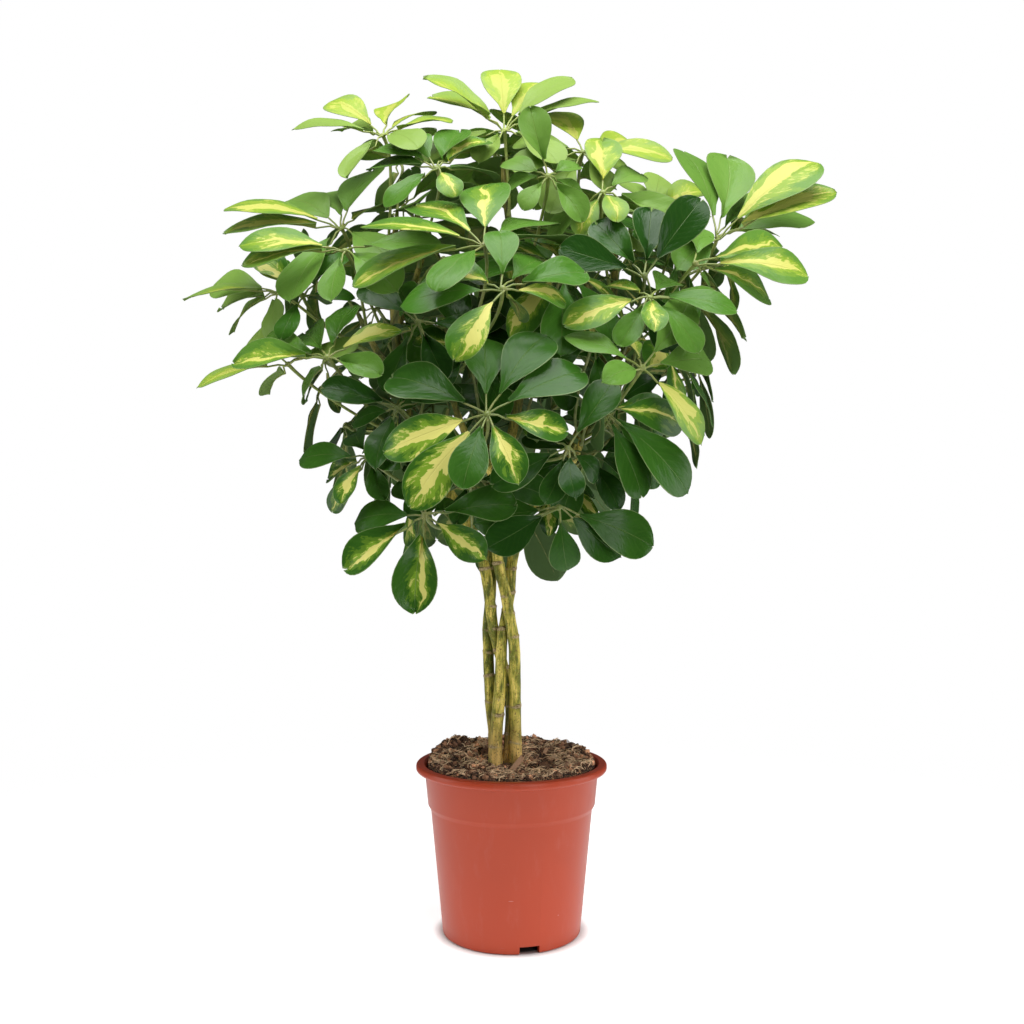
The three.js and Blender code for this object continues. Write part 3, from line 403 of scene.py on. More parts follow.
def blade_pattern(finish):
    """Colour and veins of a leaflet, in shares of its length and width, from the marks that it carries."""
    along, sideways, _ = finish.parts(finish.node("ShaderNodeUVMap", {"uv_map": "leaflet"}))
    across = (sideways - 0.5) * 2
    side = abs(across)
    seed = finish.mark("seed")
    tone = finish.mark("tone")
    patch = finish.mark("patch")
    vein = along - side * 0.3

    def cloud(x, y, z, detail, roughness=0.5):
        return finish.noise(finish.joined(x, y, z), 1, detail, roughness)

    broad = cloud(along * 3.2, across * 1.3, seed * 53, 1)
    tongues = cloud(vein * 5.5, across * 1.5, seed * 40, 2)
    fine = cloud(vein * 24, across * 5, seed * 40 + 9, 3, 0.6)
    mottle = cloud(vein * 5, across * 2.2, seed * 17, 3, 0.6)

    # The yellow middle with its ragged edge, the lime zone about it, and a faint halo round both.
    ends = along.step(0.25, 0.9)
    rag = (broad - 0.5) * 1.5 + (tongues - 0.5) * (0.7 + 1.3 * ends) + (fine - 0.5) * (0.25 + 0.35 * ends)
    swell = (1 + 0.9 * (1 - along.step(0, 0.28))) * (1 - along.step(0.5, 1.04))
    drift = (finish.mark("shift") + (broad - 0.5) * 1.1) * along.step(0, 0.4)
    inside = patch * 0.75 * swell * (1 + rag * 1.6) - abs(across - drift)
    kept = patch.step(0.01, 0.05)
    yellow = inside.step(-0.01, 0.025) * kept
    fray = (tongues - 0.5) * 0.9 + (fine - 0.5) * 0.5 - (broad - 0.5) * 1.3
    zone = inside + 0.03 + patch * (0.3 + tone) + fray * (0.35 + patch)
    lime = zone.step(0, 0.06) * kept
    halo = (zone + 0.28 + (fine - 0.5) * 0.6).step(0, 0.1) * kept
    freckle = (fine * 0.7 + tongues * 0.5).step(0.66, 0.69) * lime

    # The midrib, the pale rim and the side veins.
    rib_width = 0.030 - along * 0.018
    rib = 1 - (side - rib_width).step(-0.012, 0.014)
    edge = finish.maths("MAXIMUM", side.step(0.95, 0.99), along.step(0.99, 0.998))
    side_veins = (vein * 58 + (tongues - 0.5) * 3).wave().step(0.5, 1.0) * (1 - rib)

    from_old_to_young = [
        (0.0, (0.016, 0.066, 0.007)),
        (0.25, (0.056, 0.178, 0.016)),
        (0.5, (0.165, 0.338, 0.052)),
        (0.75, (0.290, 0.460, 0.090)),
        (1.0, (0.355, 0.515, 0.105)),
    ]
    limed = finish.mix(tone, (0.175, 0.330, 0.026), (0.45, 0.61, 0.060))
    butter = finish.mix(tone, (0.78, 0.72, 0.210), (0.58, 0.65, 0.110))
    rib_colour = finish.mix(tone, (0.12, 0.21, 0.05), (0.36, 0.5, 0.1))
    coats = [
        (halo * 0.42, limed),
        (lime * 0.9, limed),
        (finish.maths("MAXIMUM", yellow, freckle * 0.6), butter),
        (rib * (1 - yellow) * 0.5, rib_colour),
        (edge * 0.6, (0.30, 0.40, 0.16)),
        (side_veins * (0.012 + 0.07 * tone), (0.3, 0.42, 0.1)),
    ]
    colour = finish.coated(finish.ramp(tone + (mottle - 0.5) * 0.14, from_old_to_young), coats)
    relief = rib * -0.6 + side_veins * -0.08 + mottle * 1.6
    return colour, relief, tone, yellow, mottle


def blade_upper():
    """The glossy upper side of a leaflet."""
    finish = Finish("leaf_upper")
    colour, relief, tone, yellow, mottle = blade_pattern(finish)
    rough = 0.14 + 0.16 * tone + 0.16 * mottle + 0.05 * yellow
    finish.surface(colour, rough, relief, depth=0.4 * MM, shine=0.16)
    finish.let_light_through(0.05 + 0.26 * tone, LIGHT_THROUGH_BLADE)
    return finish.material


def blade_under():
    """The paler, duller underside."""
    finish = Finish("leaf_underside")
    colour, relief, tone, _, _ = blade_pattern(finish)
    pale = finish.mix(0.5, colour, (0.15, 0.24, 0.09))
    finish.surface(pale, 0.6, relief * -1, depth=0.35 * MM, shine=0.25)
    finish.let_light_through(0.05 + 0.26 * tone, LIGHT_THROUGH_BLADE)
    return finish.material


def stalk_finish():
    """Leaf stalks, hubs and ribs: smooth green, paler on young leaves."""
    finish = Finish("leaf_stalk")
    place = finish.place()
    blotch = finish.noise(place, 110, 3)
    green = finish.mix(finish.mark("tone"), (0.15, 0.20, 0.045), (0.33, 0.42, 0.075))
    colour = finish.mix(blotch.step(0.45, 0.7) * 0.5, green, (0.42, 0.40, 0.15))
    finish.surface(colour, 0.42)
    return finish.material


# ---------------------------------------------------------------------------- modelling by hand


def nothing_selected():
    if bpy.context.mode != "OBJECT":
        bpy.ops.object.mode_set(mode="OBJECT")
    bpy.ops.object.select_all(action="DESELECT")


def take(*pieces):
    """Selects these pieces alone, the first of them active."""
    nothing_selected()
    for piece in pieces:
        piece.select_set(True)
    bpy.context.view_layer.objects.active = pieces[0]


@contextmanager
def editing(piece):
    """Edit mode on one piece, with all of it selected."""
    take(piece)
    bpy.ops.object.mode_set(mode="EDIT")
    bpy.ops.mesh.select_all(action="SELECT")
    yield
    bpy.ops.object.mode_set(mode="OBJECT")


def linked(name, data):
    """A new object in the scene."""
    made = bpy.data.objects.new(name, data)
    bpy.context.collection.objects.link(made)
    return made


def set_materials(piece, *materials):
    piece.data.materials.clear()
    for material in materials:
        piece.data.materials.append(material)


def finished(piece, name, *materials):
    """Names a piece, gives it its materials, if any are named, and puts its place into its mesh."""
    piece.name = name
    piece.data.name = name
    if materials:
        set_materials(piece, *materials)
    take(piece)
    bpy.ops.object.transform_apply(location=True, rotation=True, scale=True)
    return piece


def applied(piece, kind, **settings):
    modifier = piece.modifiers.new(kind.lower(), kind)
    for name, value in settings.items():
        setattr(modifier, name, value)
    take(piece)
    bpy.ops.object.modifier_apply(modifier=modifier.name)


def cut_out(piece, cutter):
    applied(piece, "BOOLEAN", operation="DIFFERENCE", solver="EXACT", object=cutter)
    bpy.data.objects.remove(cutter)


def arc(centre, radius, start, end, steps):
    """Points of a profile on an arc, from one angle to another in degrees."""
    angles = [math.radians(start + (end - start) * k / steps) for k in range(steps + 1)]
    return [(centre[0] + radius * math.cos(a), centre[1] + radius * math.sin(a)) for a in angles]


def turned(profile, sides):
    """A closed body of revolution: a circle, extruded and scaled from point to point of its profile."""
    radius, height = profile[0]
    nothing_selected()
    bpy.ops.mesh.primitive_circle_add(vertices=sides, radius=radius, location=(0, 0, height))
    body = bpy.context.object
    bpy.ops.object.transform_apply(location=True)
    with editing(body):
        for next_radius, next_height in profile[1:]:
            rise = (0, 0, next_height - height)
            bpy.ops.mesh.extrude_region_move(TRANSFORM_OT_translate={"value": rise})
            share = next_radius / radius
            bpy.ops.transform.resize(value=(share, share, 1), center_override=(0, 0, next_height))
            radius, height = next_radius, next_height
        bpy.ops.mesh.select_all(action="SELECT")
        bpy.ops.mesh.fill_holes(sides=0)
        bpy.ops.mesh.select_all(action="SELECT")
        bpy.ops.mesh.normals_make_consistent(inside=False)
    return body


def round_shaded(piece, degrees):
    take(piece)
    bpy.ops.object.shade_smooth_by_angle(angle=math.radians(degrees))


def points_of(mesh):
    points = np.empty(len(mesh.vertices) * 3)
    mesh.vertices.foreach_get("co", points)
    return points.reshape(-1, 3)


def set_points(mesh, points):
    mesh.vertices.foreach_set("co", np.asarray(points, float).ravel())
    mesh.update()


def set_mark(mesh, name, values):
    """Stores a number at each of a mesh's points."""
    mark = mesh.attributes.get(name) or mesh.attributes.new(name, "FLOAT", "POINT")
    mark.data.foreach_set("value", np.broadcast_to(values, len(mesh.vertices)).astype(np.float32))


def rods(name, lines, sides_level):
    """Round rods along lines, each a list of (place, radius), as one mesh. Each level adds sides."""
    curve = bpy.data.curves.new(name, "CURVE")
    curve.dimensions = "3D"
    curve.bevel_depth = 1
    curve.bevel_resolution = sides_level
    curve.use_fill_caps = True
    for line in lines:
        spline = curve.splines.new("POLY")
        spline.points.add(len(line) - 1)
        for point, (place, radius) in zip(spline.points, line):
            point.co = (*place, 1)
            point.radius = radius
    take(linked(name, curve))
    bpy.ops.object.convert(target="MESH")
    made = bpy.context.object
    with editing(made):
        bpy.ops.mesh.normals_make_consistent(inside=False)
    bpy.ops.object.shade_smooth()
    return made


def strewn(name, masters, places):
    """Copies of a few shapes as one mesh. Each place is (which shape, its matrix, its tone)."""
    points, faces, tones = [], [], []
    total = 0
    shapes = [(points_of(m.data), [tuple(f.vertices) for f in m.data.polygons]) for m in masters]
    for which, matrix, tone in places:
        corners, sides = shapes[which]
        turn = np.array(matrix.to_3x3())
        points.append(corners @ turn.T + np.array(matrix.translation))
        faces.extend(tuple(total + corner for corner in side) for side in sides)
        tones.append(np.full(len(corners), tone))
        total += len(corners)
    mesh = bpy.data.meshes.new(name)
    mesh.from_pydata(np.concatenate(points), [], faces)
    set_mark(mesh, "tone", np.concatenate(tones))
    for master in masters:
        bpy.data.objects.remove(master)
    return linked(name, mesh)


def through(times, points, at):
    """Places on the smooth curve that passes each point at its time."""
    times = np.asarray(times, float)
    points = np.asarray(points, float)
    at = np.asarray(at, float)
    slopes = np.gradient(points, times, axis=0)
    k = np.clip(np.searchsorted(times, at, side="right") - 1, 0, len(times) - 2)
    width = (times[k + 1] - times[k])[:, None]
    s = (at - times[k])[:, None] / width
    return (
        (1 + 2 * s) * (1 - s) ** 2 * points[k]
        + s * (1 - s) ** 2 * width * slopes[k]
        + s**2 * (3 - 2 * s) * points[k + 1]
        + s**2 * (s - 1) * width * slopes[k + 1]
    )


def lengths_along(points):
    steps = np.linalg.norm(np.diff(np.asarray(points, float), axis=0), axis=1)
    return np.concatenate([[0], np.cumsum(steps)])


def unit(vector):
    return vector / np.linalg.norm(vector)


def units(vectors):
    return vectors / np.linalg.norm(vectors, axis=1)[:, None]


# ---------------------------------------------------------------------------- reading the CAD frame


def net_of(node):
    """The corners of a CAD node without doubles, and the set of corners that faces join to each."""
    places, index = np.unique(np.round(points_of(node.data), 5), axis=0, return_inverse=True)
    index = index.reshape(-1)
    joined = [set() for _ in places]
    for face in node.data.polygons:
        corners = {int(index[corner]) for corner in face.vertices}
        for corner in corners:
            joined[corner] |= corners - {corner}
    return places, joined


def layers_from(joined, first, count):
    """Sets of corners, each one edge further from the first set than the one before it."""
    layers = [set(first)]
    seen = set(first)
    while len(layers) < count:
        following = set().union(*(joined[corner] for corner in layers[-1])) - seen
        if not following:
            break
        layers.append(following)
        seen |= following
    return layers


# ---------------------------------------------------------------------------- pot

POT_LIP_DEPTH = 8 * MM
POT_LIP_WIDTH = 8.2 * MM
POT_COLLAR_TOP = 95 * MM
POT_COLLAR_FOOT = 91.8 * MM
POT_COLLAR_HEIGHT = 141 * MM
POT_WALL_TOP = 88.6 * MM
POT_STEP_HEIGHT = 134.5 * MM
POT_FOOT = 75.6 * MM
POT_FLOOR_HEIGHT = 9 * MM
POT_FLOOR = 2.5 * MM
POT_PAD = 34 * MM
POT_FOOT_RING = 68 * MM
POT_SLOPE = 4 * MM
DRAIN_COUNT = 6
DRAIN_RING = 51 * MM
DRAIN_RADIUS = 5 * MM
NOTCH_COUNT = 3
NOTCH_WIDTH = 21.5 * MM
NOTCH_HEIGHT = 8.4 * MM
NOTCH_DEPTH = 22 * MM
NOTCH_FIRST = -75.6  # degrees


def pot_profile(wall):
    """From the middle of the pot's underside out, up its wall, over the lip and down its inside."""
    height = POT_HIGH.z
    lip = POT_HIGH.x
    under_lip = height - POT_LIP_DEPTH
    floor_top = POT_FLOOR_HEIGHT + POT_FLOOR
    heel = 2.8 * MM  # the round edge on which the wall stands
    roll = 2.9 * MM  # the round edges of the lip
    return [
        (POT_PAD, 0),
        (POT_PAD + POT_SLOPE, POT_FLOOR_HEIGHT),
        (POT_FOOT_RING - POT_SLOPE / 2, POT_FLOOR_HEIGHT),
        (POT_FOOT_RING, 0),
        *arc((POT_FOOT - 2.6 * MM, heel), heel, -90, -8, 6),
        (POT_WALL_TOP, POT_STEP_HEIGHT),
        (POT_WALL_TOP + 0.5 * MM, POT_STEP_HEIGHT + 1.6 * MM),
        (POT_COLLAR_FOOT - 0.6 * MM, POT_COLLAR_HEIGHT - 1.4 * MM),
        (POT_COLLAR_FOOT, POT_COLLAR_HEIGHT),
        (POT_COLLAR_TOP - 0.1 * MM, under_lip - 3.4 * MM),
        (POT_COLLAR_TOP + 0.9 * MM, under_lip - 1.4 * MM),
        (POT_COLLAR_TOP + 2.9 * MM, under_lip - 0.2 * MM),
        *arc((lip - roll, under_lip + roll), roll, -90, 0, 6),
        *arc((lip - roll, height - roll), roll, 8, 90, 6),
        (lip - POT_LIP_WIDTH, height),
        (lip - POT_LIP_WIDTH - 1.2 * MM, height - 1.1 * MM),
        (POT_COLLAR_TOP - wall, height - 5 * MM),
        (POT_COLLAR_FOOT - wall, POT_COLLAR_HEIGHT),
        (POT_WALL_TOP - wall, POT_STEP_HEIGHT),
        (POT_FOOT - wall, floor_top + wall),
        (POT_FOOT - 2 * wall, floor_top),
        (POT_PAD + POT_SLOPE, floor_top),
        (POT_PAD - wall, POT_FLOOR),
    ]


class PLANT_OT_pot(bpy.types.Operator):
    """Moulded nursery pot with a rolled lip, a stepped collar, drain holes and water notches"""

    bl_idname = "plant.pot"
    bl_label = "Pot"

    def execute(self, context):
        settings = context.scene.plant_pot
        pot = turned(pot_profile(settings.wall), settings.sides)
        drain = {"vertices": 32, "radius": DRAIN_RADIUS, "depth": 4 * POT_FLOOR}
        for k in range(DRAIN_COUNT):
            angle = math.tau / DRAIN_COUNT * (k + 0.5)
            at = (DRAIN_RING * math.cos(angle), DRAIN_RING * math.sin(angle), POT_FLOOR_HEIGHT)
            nothing_selected()
            bpy.ops.mesh.primitive_cylinder_add(location=at, **drain)
            cut_out(pot, bpy.context.object)
        for k in range(NOTCH_COUNT):
            angle = math.radians(NOTCH_FIRST) + math.tau / NOTCH_COUNT * k
            at = (POT_FOOT * math.cos(angle), POT_FOOT * math.sin(angle), 0)
            nothing_selected()
            bpy.ops.mesh.primitive_cube_add(size=1, location=at, rotation=(0, 0, angle))
            cutter = bpy.context.object
            cutter.scale = (NOTCH_DEPTH, NOTCH_WIDTH, 2 * NOTCH_HEIGHT)
            cut_out(pot, cutter)
        finished(pot, "moulded_pot", pot_plastic(tuple(settings.colour)))
        round_shaded(pot, 32)
        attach(pot, "root")
        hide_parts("pot")
        return {"FINISHED"}


# ---------------------------------------------------------------------------- soil

SOIL_SEED = 11
SOIL_GAP = 0.3 * MM  # between the soil and the pot
SOIL_HEIGHT = 182 * MM
EDGE_RISE = 5 * MM  # of the loose mix against the pot's wall
SMOOTH_EDGE = 5 * MM  # over which the roughness of the top fades out at the wall
ROUGH_PART = "top"
LOWEST_SOIL = 166 * MM  # anything lower is the bottom of a stem's hole
ABOVE_SOIL = 0.4  # heights from which a ray looks down
ABOVE_PLANT = 1
CRUMB_SIZES = (0.7, 1.0, 1.5, 2.2, 3.4)  # millimetres
CRUMB_SHAPES = 4
CHIP_SHAPES = 3
FIBRE_TONES = (0.1, 0.6, 1.2, 1.3)
SPLINTER_PLACE = Vector((4 * MM, -30 * MM, 6 * MM))  # its height is over the middle of the soil
SPLINTER_LIE = (0.35, -0.72, 0.61)  # radians
SPLINTER_SIZE = (26 * MM, 5.5 * MM, 3 * MM)
# How clouds roughen the soil's top: the size of a cloud and how deep it goes.
ROUGHNESS = ((22 * MM, 6 * MM), (9 * MM, 8 * MM), (3 * MM, 2.6 * MM))


def below(thing, x, y, start):
    """Where a ray straight down from a height meets a thing, or None where it passes beside it."""
    hit, place, _, _ = thing.ray_cast(Vector((x, y, start)), Vector((0, 0, -1)))
    return place if hit else None


def soil_level(x, y):
    """Height of the CAD soil's surface at a place, or None over a stem's hole."""
    place = below(NODES["soil"], x, y, ABOVE_PLANT)
    return place.z if place is not None and place.z > LOWEST_SOIL else None


def soil_body(settings, wall):
    """A plug that fills the pot, with a top whose heights come from the CAD soil."""
    inside = wall + 2 * SOIL_GAP
    bottom = SOIL_LOW.z
    edge = SOIL_HIGH.x - 0.6 * MM
    side = [
        (POT_FOOT - inside - wall, bottom),
        (POT_FOOT - inside, bottom + wall),
        (POT_WALL_TOP - inside, POT_STEP_HEIGHT),
        (POT_COLLAR_FOOT - inside, POT_COLLAR_HEIGHT),
    ]
    flat = 175 * MM  # where the top is made before it gets its heights
    rings = int((edge - 3 * MM) / settings.ring_step)
    top = [(edge - k * settings.ring_step, flat) for k in range(rings + 1)]
    body = turned([*side, *top], settings.sides)
    places = points_of(body.data)
    on_top = np.flatnonzero(places[:, 2] > flat - 1 * MM)
    for i in on_top:
        x, y, _ = places[i]
        level = soil_level(x, y) or soil_level(1.2 * x, 1.2 * y) or SOIL_HEIGHT
        places[i, 2] = level + EDGE_RISE * np.clip(math.hypot(x, y) / edge * 3 - 2, 0, 1)
    set_points(body.data, places)
    group = body.vertex_groups.new(name=ROUGH_PART)
    away = 1 - np.clip((np.hypot(places[:, 0], places[:, 1]) - edge + SMOOTH_EDGE) / SMOOTH_EDGE, 0, 1)
    for i in on_top:
        group.add([int(i)], float(away[i]), "REPLACE")
    return body


def roughened(body, size, depth, number):
    """Raises and lowers the soil's top by clouds of one size."""
    clouds = bpy.data.textures.new(f"clouds_{number}", "CLOUDS")
    clouds.noise_scale = size
    clouds.noise_depth = 2
    clouds.cloud_type = "GRAYSCALE"
    cast = {"texture": clouds, "texture_coords": "LOCAL", "direction": "Z", "vertex_group": ROUGH_PART}
    applied(body, "DISPLACE", strength=depth, mid_level=0.5, **cast)


def surface_place(body, draw, reach):
    """A random place on the soil's surface within a distance of the axis."""
    angle = draw.uniform(0, math.tau)
    out = reach * math.sqrt(draw.random())
    x, y = out * math.cos(angle), out * math.sin(angle)
    place = below(body, x, y, ABOVE_SOIL)
    return Vector((x, y, SOIL_HEIGHT)) if place is None else place


def matted(at):
    """How thickly coir lies at a place of the soil, from 0 to 1, in clumps some centimetres wide."""
    return min(max(0.5 + 1.6 * noise.noise(Vector((at.x, at.y, 0)) * 42), 0), 1)


def jostled(draw, count, push, add_shape, bevel=0, **shape):
    """A few copies of a simple shape, each with its corners pushed about in its own way."""
    shapes = []
    for _ in range(count):
        nothing_selected()
        add_shape(**shape)
        with editing(bpy.context.object):
            if bevel:
                bpy.ops.mesh.bevel(offset=bevel, segments=1, affect="EDGES")
            bpy.ops.transform.vertex_random(offset=push, seed=draw.randrange(1000))
        shapes.append(bpy.context.object)
    return shapes


def turned_any_way(draw):
    return Euler([draw.uniform(0, math.tau) for _ in range(3)]).to_matrix().to_4x4()


def soil_crumbs(body, settings, draw, edge):
    """Lumps of peat, of which the pale ones lie where coir does."""
    places = []
    for _ in range(settings.crumbs):
        at = surface_place(body, draw, edge)
        size = draw.choice(CRUMB_SIZES) * draw.uniform(0.8, 1.2) * MM
        scale = Matrix.Diagonal((size, size * draw.uniform(0.6, 1), size * draw.uniform(0.5, 0.9), 1))
        raised = at + Vector((0, 0, 0.25 * size))
        matrix = Matrix.Translation(raised) @ turned_any_way(draw) @ scale
        which = draw.randrange(CRUMB_SHAPES)
        places.append((which, matrix, draw.random() ** 2.2 * (0.4 + 1.1 * matted(at))))
    add_ball = bpy.ops.mesh.primitive_ico_sphere_add
    lumps = jostled(draw, CRUMB_SHAPES, 0.42, add_ball, subdivisions=1, radius=1)
    return strewn("peat_crumbs", lumps, places)


def soil_chips(body, settings, draw, edge):
    """Chips of bark that lie about, and one long splinter in front of the stems."""
    places = []
    for _ in range(settings.chips):
        at = surface_place(body, draw, edge - 5 * MM)
        long = draw.uniform(4, 11) * MM
        scale = Matrix.Diagonal((long, long * draw.uniform(0.25, 0.5), draw.uniform(0.8, 1.8) * MM, 1))
        lie = Euler((draw.uniform(-0.4, 0.4), draw.uniform(-0.5, 0.5), draw.uniform(0, math.tau)))
        matrix = Matrix.Translation(at + Vector((0, 0, 0.8 * MM))) @ lie.to_matrix().to_4x4() @ scale
        places.append((draw.randrange(CHIP_SHAPES), matrix, draw.random()))
    middle = surface_place(body, random.Random(3), 1 * MM)
    moved = Matrix.Translation(SPLINTER_PLACE + Vector((0, 0, middle.z)))
    lie = Euler(SPLINTER_LIE).to_matrix().to_4x4()
    places.append((0, moved @ lie @ Matrix.Diagonal((*SPLINTER_SIZE, 1)), 0.8))
    blocks = jostled(draw, CHIP_SHAPES, 0.09, bpy.ops.mesh.primitive_cube_add, bevel=0.12, size=1)
    return strewn("bark_chips", blocks, places)


def fibre_line(body, at, draw, edge):
    """One curled fibre from a place on the surface, which lifts off it a little in its middle."""
    heading = draw.uniform(0, math.tau)
    turn = draw.uniform(-0.55, 0.55)
    step = draw.uniform(1.3, 4.2) * MM
    lift = draw.uniform(0.2, 2.6) * MM
    radius = draw.uniform(0.18, 0.75) * MM
    x, y, height = at
    line = []
    for k in range(6):
        floor = below(body, x, y, ABOVE_SOIL)
        if floor is not None and math.hypot(x, y) < edge:
            height = 0.5 * height + 0.5 * floor.z
        rise = 1.1 * MM + lift * math.sin(k / 5 * math.pi)
        line.append((Vector((x, y, height + rise)), radius * (1 - 0.09 * k)))
        heading += turn + draw.uniform(-0.45, 0.45)
        x += step * math.cos(heading)
        y += step * math.sin(heading)
        if math.hypot(x, y) > edge:
            heading += math.pi / 2
            x *= 0.97
            y *= 0.97
    return line


def soil_fibres(body, settings, draw, edge):
    """Coir fibres in the clumps in which they mat."""
    lines = []
    tones = []
    while len(lines) < settings.fibres:
        at = surface_place(body, draw, edge - 3 * MM)
        if matted(at) ** 2 < draw.random():
            continue
        lines.append(fibre_line(body, at, draw, edge))
        tones.append(draw.choice(FIBRE_TONES) * draw.uniform(0.7, 1.1))
    fibres = rods("coir_fibres", lines, 0)
    share = len(fibres.data.vertices) // len(lines)
    set_mark(fibres.data, "tone", np.repeat(tones, share))
    return fibres


class PLANT_OT_soil(bpy.types.Operator):
    """Coarse potting mix: a lumpy body with crumbs of peat, coir fibres and chips of bark"""

    bl_idname = "plant.soil"
    bl_label = "Soil"

    def execute(self, context):
        settings = context.scene.plant_soil
        draw = random.Random(SOIL_SEED)
        body = soil_body(settings, context.scene.plant_pot.wall)
        for number, (size, depth) in enumerate(ROUGHNESS, 1):
            roughened(body, size, depth, number)
        finished(body, "potting_mix", peat())
        round_shaded(body, 60)
        edge = SOIL_HIGH.x - 2 * MM
        crumbs = soil_crumbs(body, settings, draw, edge)
        fibres = soil_fibres(body, settings, draw, edge)
        chips = soil_chips(body, settings, draw, edge)
        peat_tones = ((0.012, 0.004, 0.002), (1.0, 0.50, 0.27))
        coir_tones = ((0.06, 0.024, 0.010), (1.0, 0.70, 0.43))
        bark_tones = ((0.09, 0.038, 0.018), (0.64, 0.37, 0.22))
        finished(crumbs, "peat_crumbs", crumb_finish("peat_crumb", *peat_tones))
        finished(fibres, "coir_fibres", crumb_finish("coir_fibre", *coir_tones))
        finished(chips, "bark_chips", crumb_finish("bark_chip", *bark_tones))
        for piece in (body, crumbs, fibres, chips):
            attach(piece, "root")
        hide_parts("soil")
        return {"FINISHED"}


# ---------------------------------------------------------------------------- stems

STEM_SEED = 5
STEM_START = 150 * MM  # a little below the soil's surface
RING_CORNERS = 8  # of the CAD stems
MOST_RINGS = 40  # more than a CAD stem has
STEM_ROUNDNESS = 4  # the level of sides of a stem's rod
SCAR_SWELL = 1.07  # of a CAD stem's ring at a leaf scar
SCAR_WIDTH = 1.6 * MM
# How dark and green a stem's bark is, from 0, young and yellow, to 1.
STEM_AGE = {"stem_front": 0.15, "stem_left": 0.35, "stem_back": 0.8, "stem_right": 0.2}


def stem_stations(node):
    """Centre and radius of each ring of a CAD stem, from its foot up to its first shoot."""
    places, joined = net_of(node)
    ends = [
        corner
        for corner, ring in enumerate(joined)
        if len(ring) == RING_CORNERS
        and np.linalg.norm(places[list(ring)].mean(0) - places[corner]) < 0.05 * MM
    ]
    foot = min(ends, key=lambda corner: places[corner][2])
    stations = []
    for ring in layers_from(joined, {foot}, MOST_RINGS)[1:]:
        if len(ring) != RING_CORNERS:
            break
        corners = places[list(ring)]
        centre = corners.mean(0)
        stations.append((centre, np.linalg.norm(corners - centre, axis=1).mean()))
    return stations


def waves(angle, draw, count):
    """A seeded sum of waves around or along a stem, from about -1 to 1."""
    total = 0
    for k in range(1, count + 1):
        total = total + draw.uniform(0.4, 1) * np.sin(k * angle + draw.uniform(0, math.tau)) / k
    return total


def bump(distance, width):
    """1 where the distance is 0, and less the further it is, over a width."""
    return np.exp(-((distance / width) ** 2))


def bare_stem(name, stations, settings, draw):
    """The scarred, bare length of a stem: an uneven rod with part of a ring where each leaf sat."""
    radii = [radius for _, radius in stations]
    scars = [
        k
        for k in range(1, len(stations) - 1)
        if radii[k] > 1.02 * radii[k - 1] and radii[k] > 1.02 * radii[k + 1]
    ]
    plain = [0, *scars, len(stations) - 1]
    centres = np.array([stations[k][0] for k in plain])
    widths = np.array([radii[k] / (SCAR_SWELL if k in scars else 1) for k in plain])
    marks = lengths_along(centres)
    at = np.arange(0, marks[-1], settings.step)
    line = through(marks, centres, at)
    width = np.interp(at, marks, widths)
    for place in marks[1:-1]:
        width = width + 0.35 * MM * np.clip(1 - (place - at) / (13 * MM), 0, 1) ** 2 * (at < place)
    keep = line[:, 2] > STEM_START
    rod = rods(name, [list(zip(line[keep], width[keep]))], STEM_ROUNDNESS)

    points = points_of(rod.data)
    heights = points[:, 2]
    length = np.interp(heights, line[:, 2], at)
    out = points - np.stack([np.interp(heights, line[:, 2], line[:, k]) for k in range(3)], 1)
    angle = np.arctan2(out[:, 1], out[:, 0])
    out /= np.maximum(np.linalg.norm(out, axis=1), 0.1 * MM)[:, None]
    scar = np.zeros(len(points))
    groove = np.zeros(len(points))
    for place in marks[1:-1]:
        towards = draw.uniform(0, math.tau)
        depth = draw.uniform(0.6, 1)
        around = np.clip(0.7 + 0.4 * np.cos(angle - towards) + 0.25 * waves(3 * angle, draw, 3), 0.15, 1)
        above = length - place - 1.1 * MM * np.sin(angle - towards) - 0.3 * MM * waves(2 * angle, draw, 3)
        scar = np.maximum(scar, depth * around * bump(above, SCAR_WIDTH))
        # Grooves just below and above the scar, sunk a little and darkened in the material as painted
        # shade.
        lower_line = 0.5 * bump(above + 2.3 * MM, 0.5 * MM)
        upper_line = depth * bump(above - 1.9 * MM, 0.55 * MM)
        groove = np.maximum(groove, around * np.maximum(lower_line, upper_line))
    foot = np.exp(-np.clip(heights - SOIL_HEIGHT, 0, 1) / (9 * MM))
    uneven = 0.16 * MM * waves(angle + length / (9 * MM), draw, 5)
    flare = foot * 1.7 * MM * (0.7 + waves(2 * angle, draw, 2))
    raised = settings.scar * scar - 0.22 * MM * groove + (uneven + flare)
    set_points(rod.data, points + out * raised[:, None])
    set_mark(rod.data, "scar", scar)
    set_mark(rod.data, "groove", groove)
    return rod, line[-1]


def crown_stem(name, node, cut):
    """A stem's upper length with its shoots, rounded from the CAD solid."""
    upper = linked(name, node.data.copy())
    with editing(upper):
        bpy.ops.mesh.remove_doubles(threshold=0.01 * MM)
        bpy.ops.mesh.bisect(plane_co=tuple(cut), plane_no=(0, 0, 1), clear_inner=True, use_fill=True)
        bpy.ops.mesh.select_all(action="SELECT")
        bpy.ops.mesh.tris_convert_to_quads()
    applied(upper, "SUBSURF", levels=2, render_levels=2)
    applied(upper, "DISPLACE", strength=0.4 * MM, mid_level=0)
    take(upper)
    bpy.ops.object.shade_smooth()
    return upper


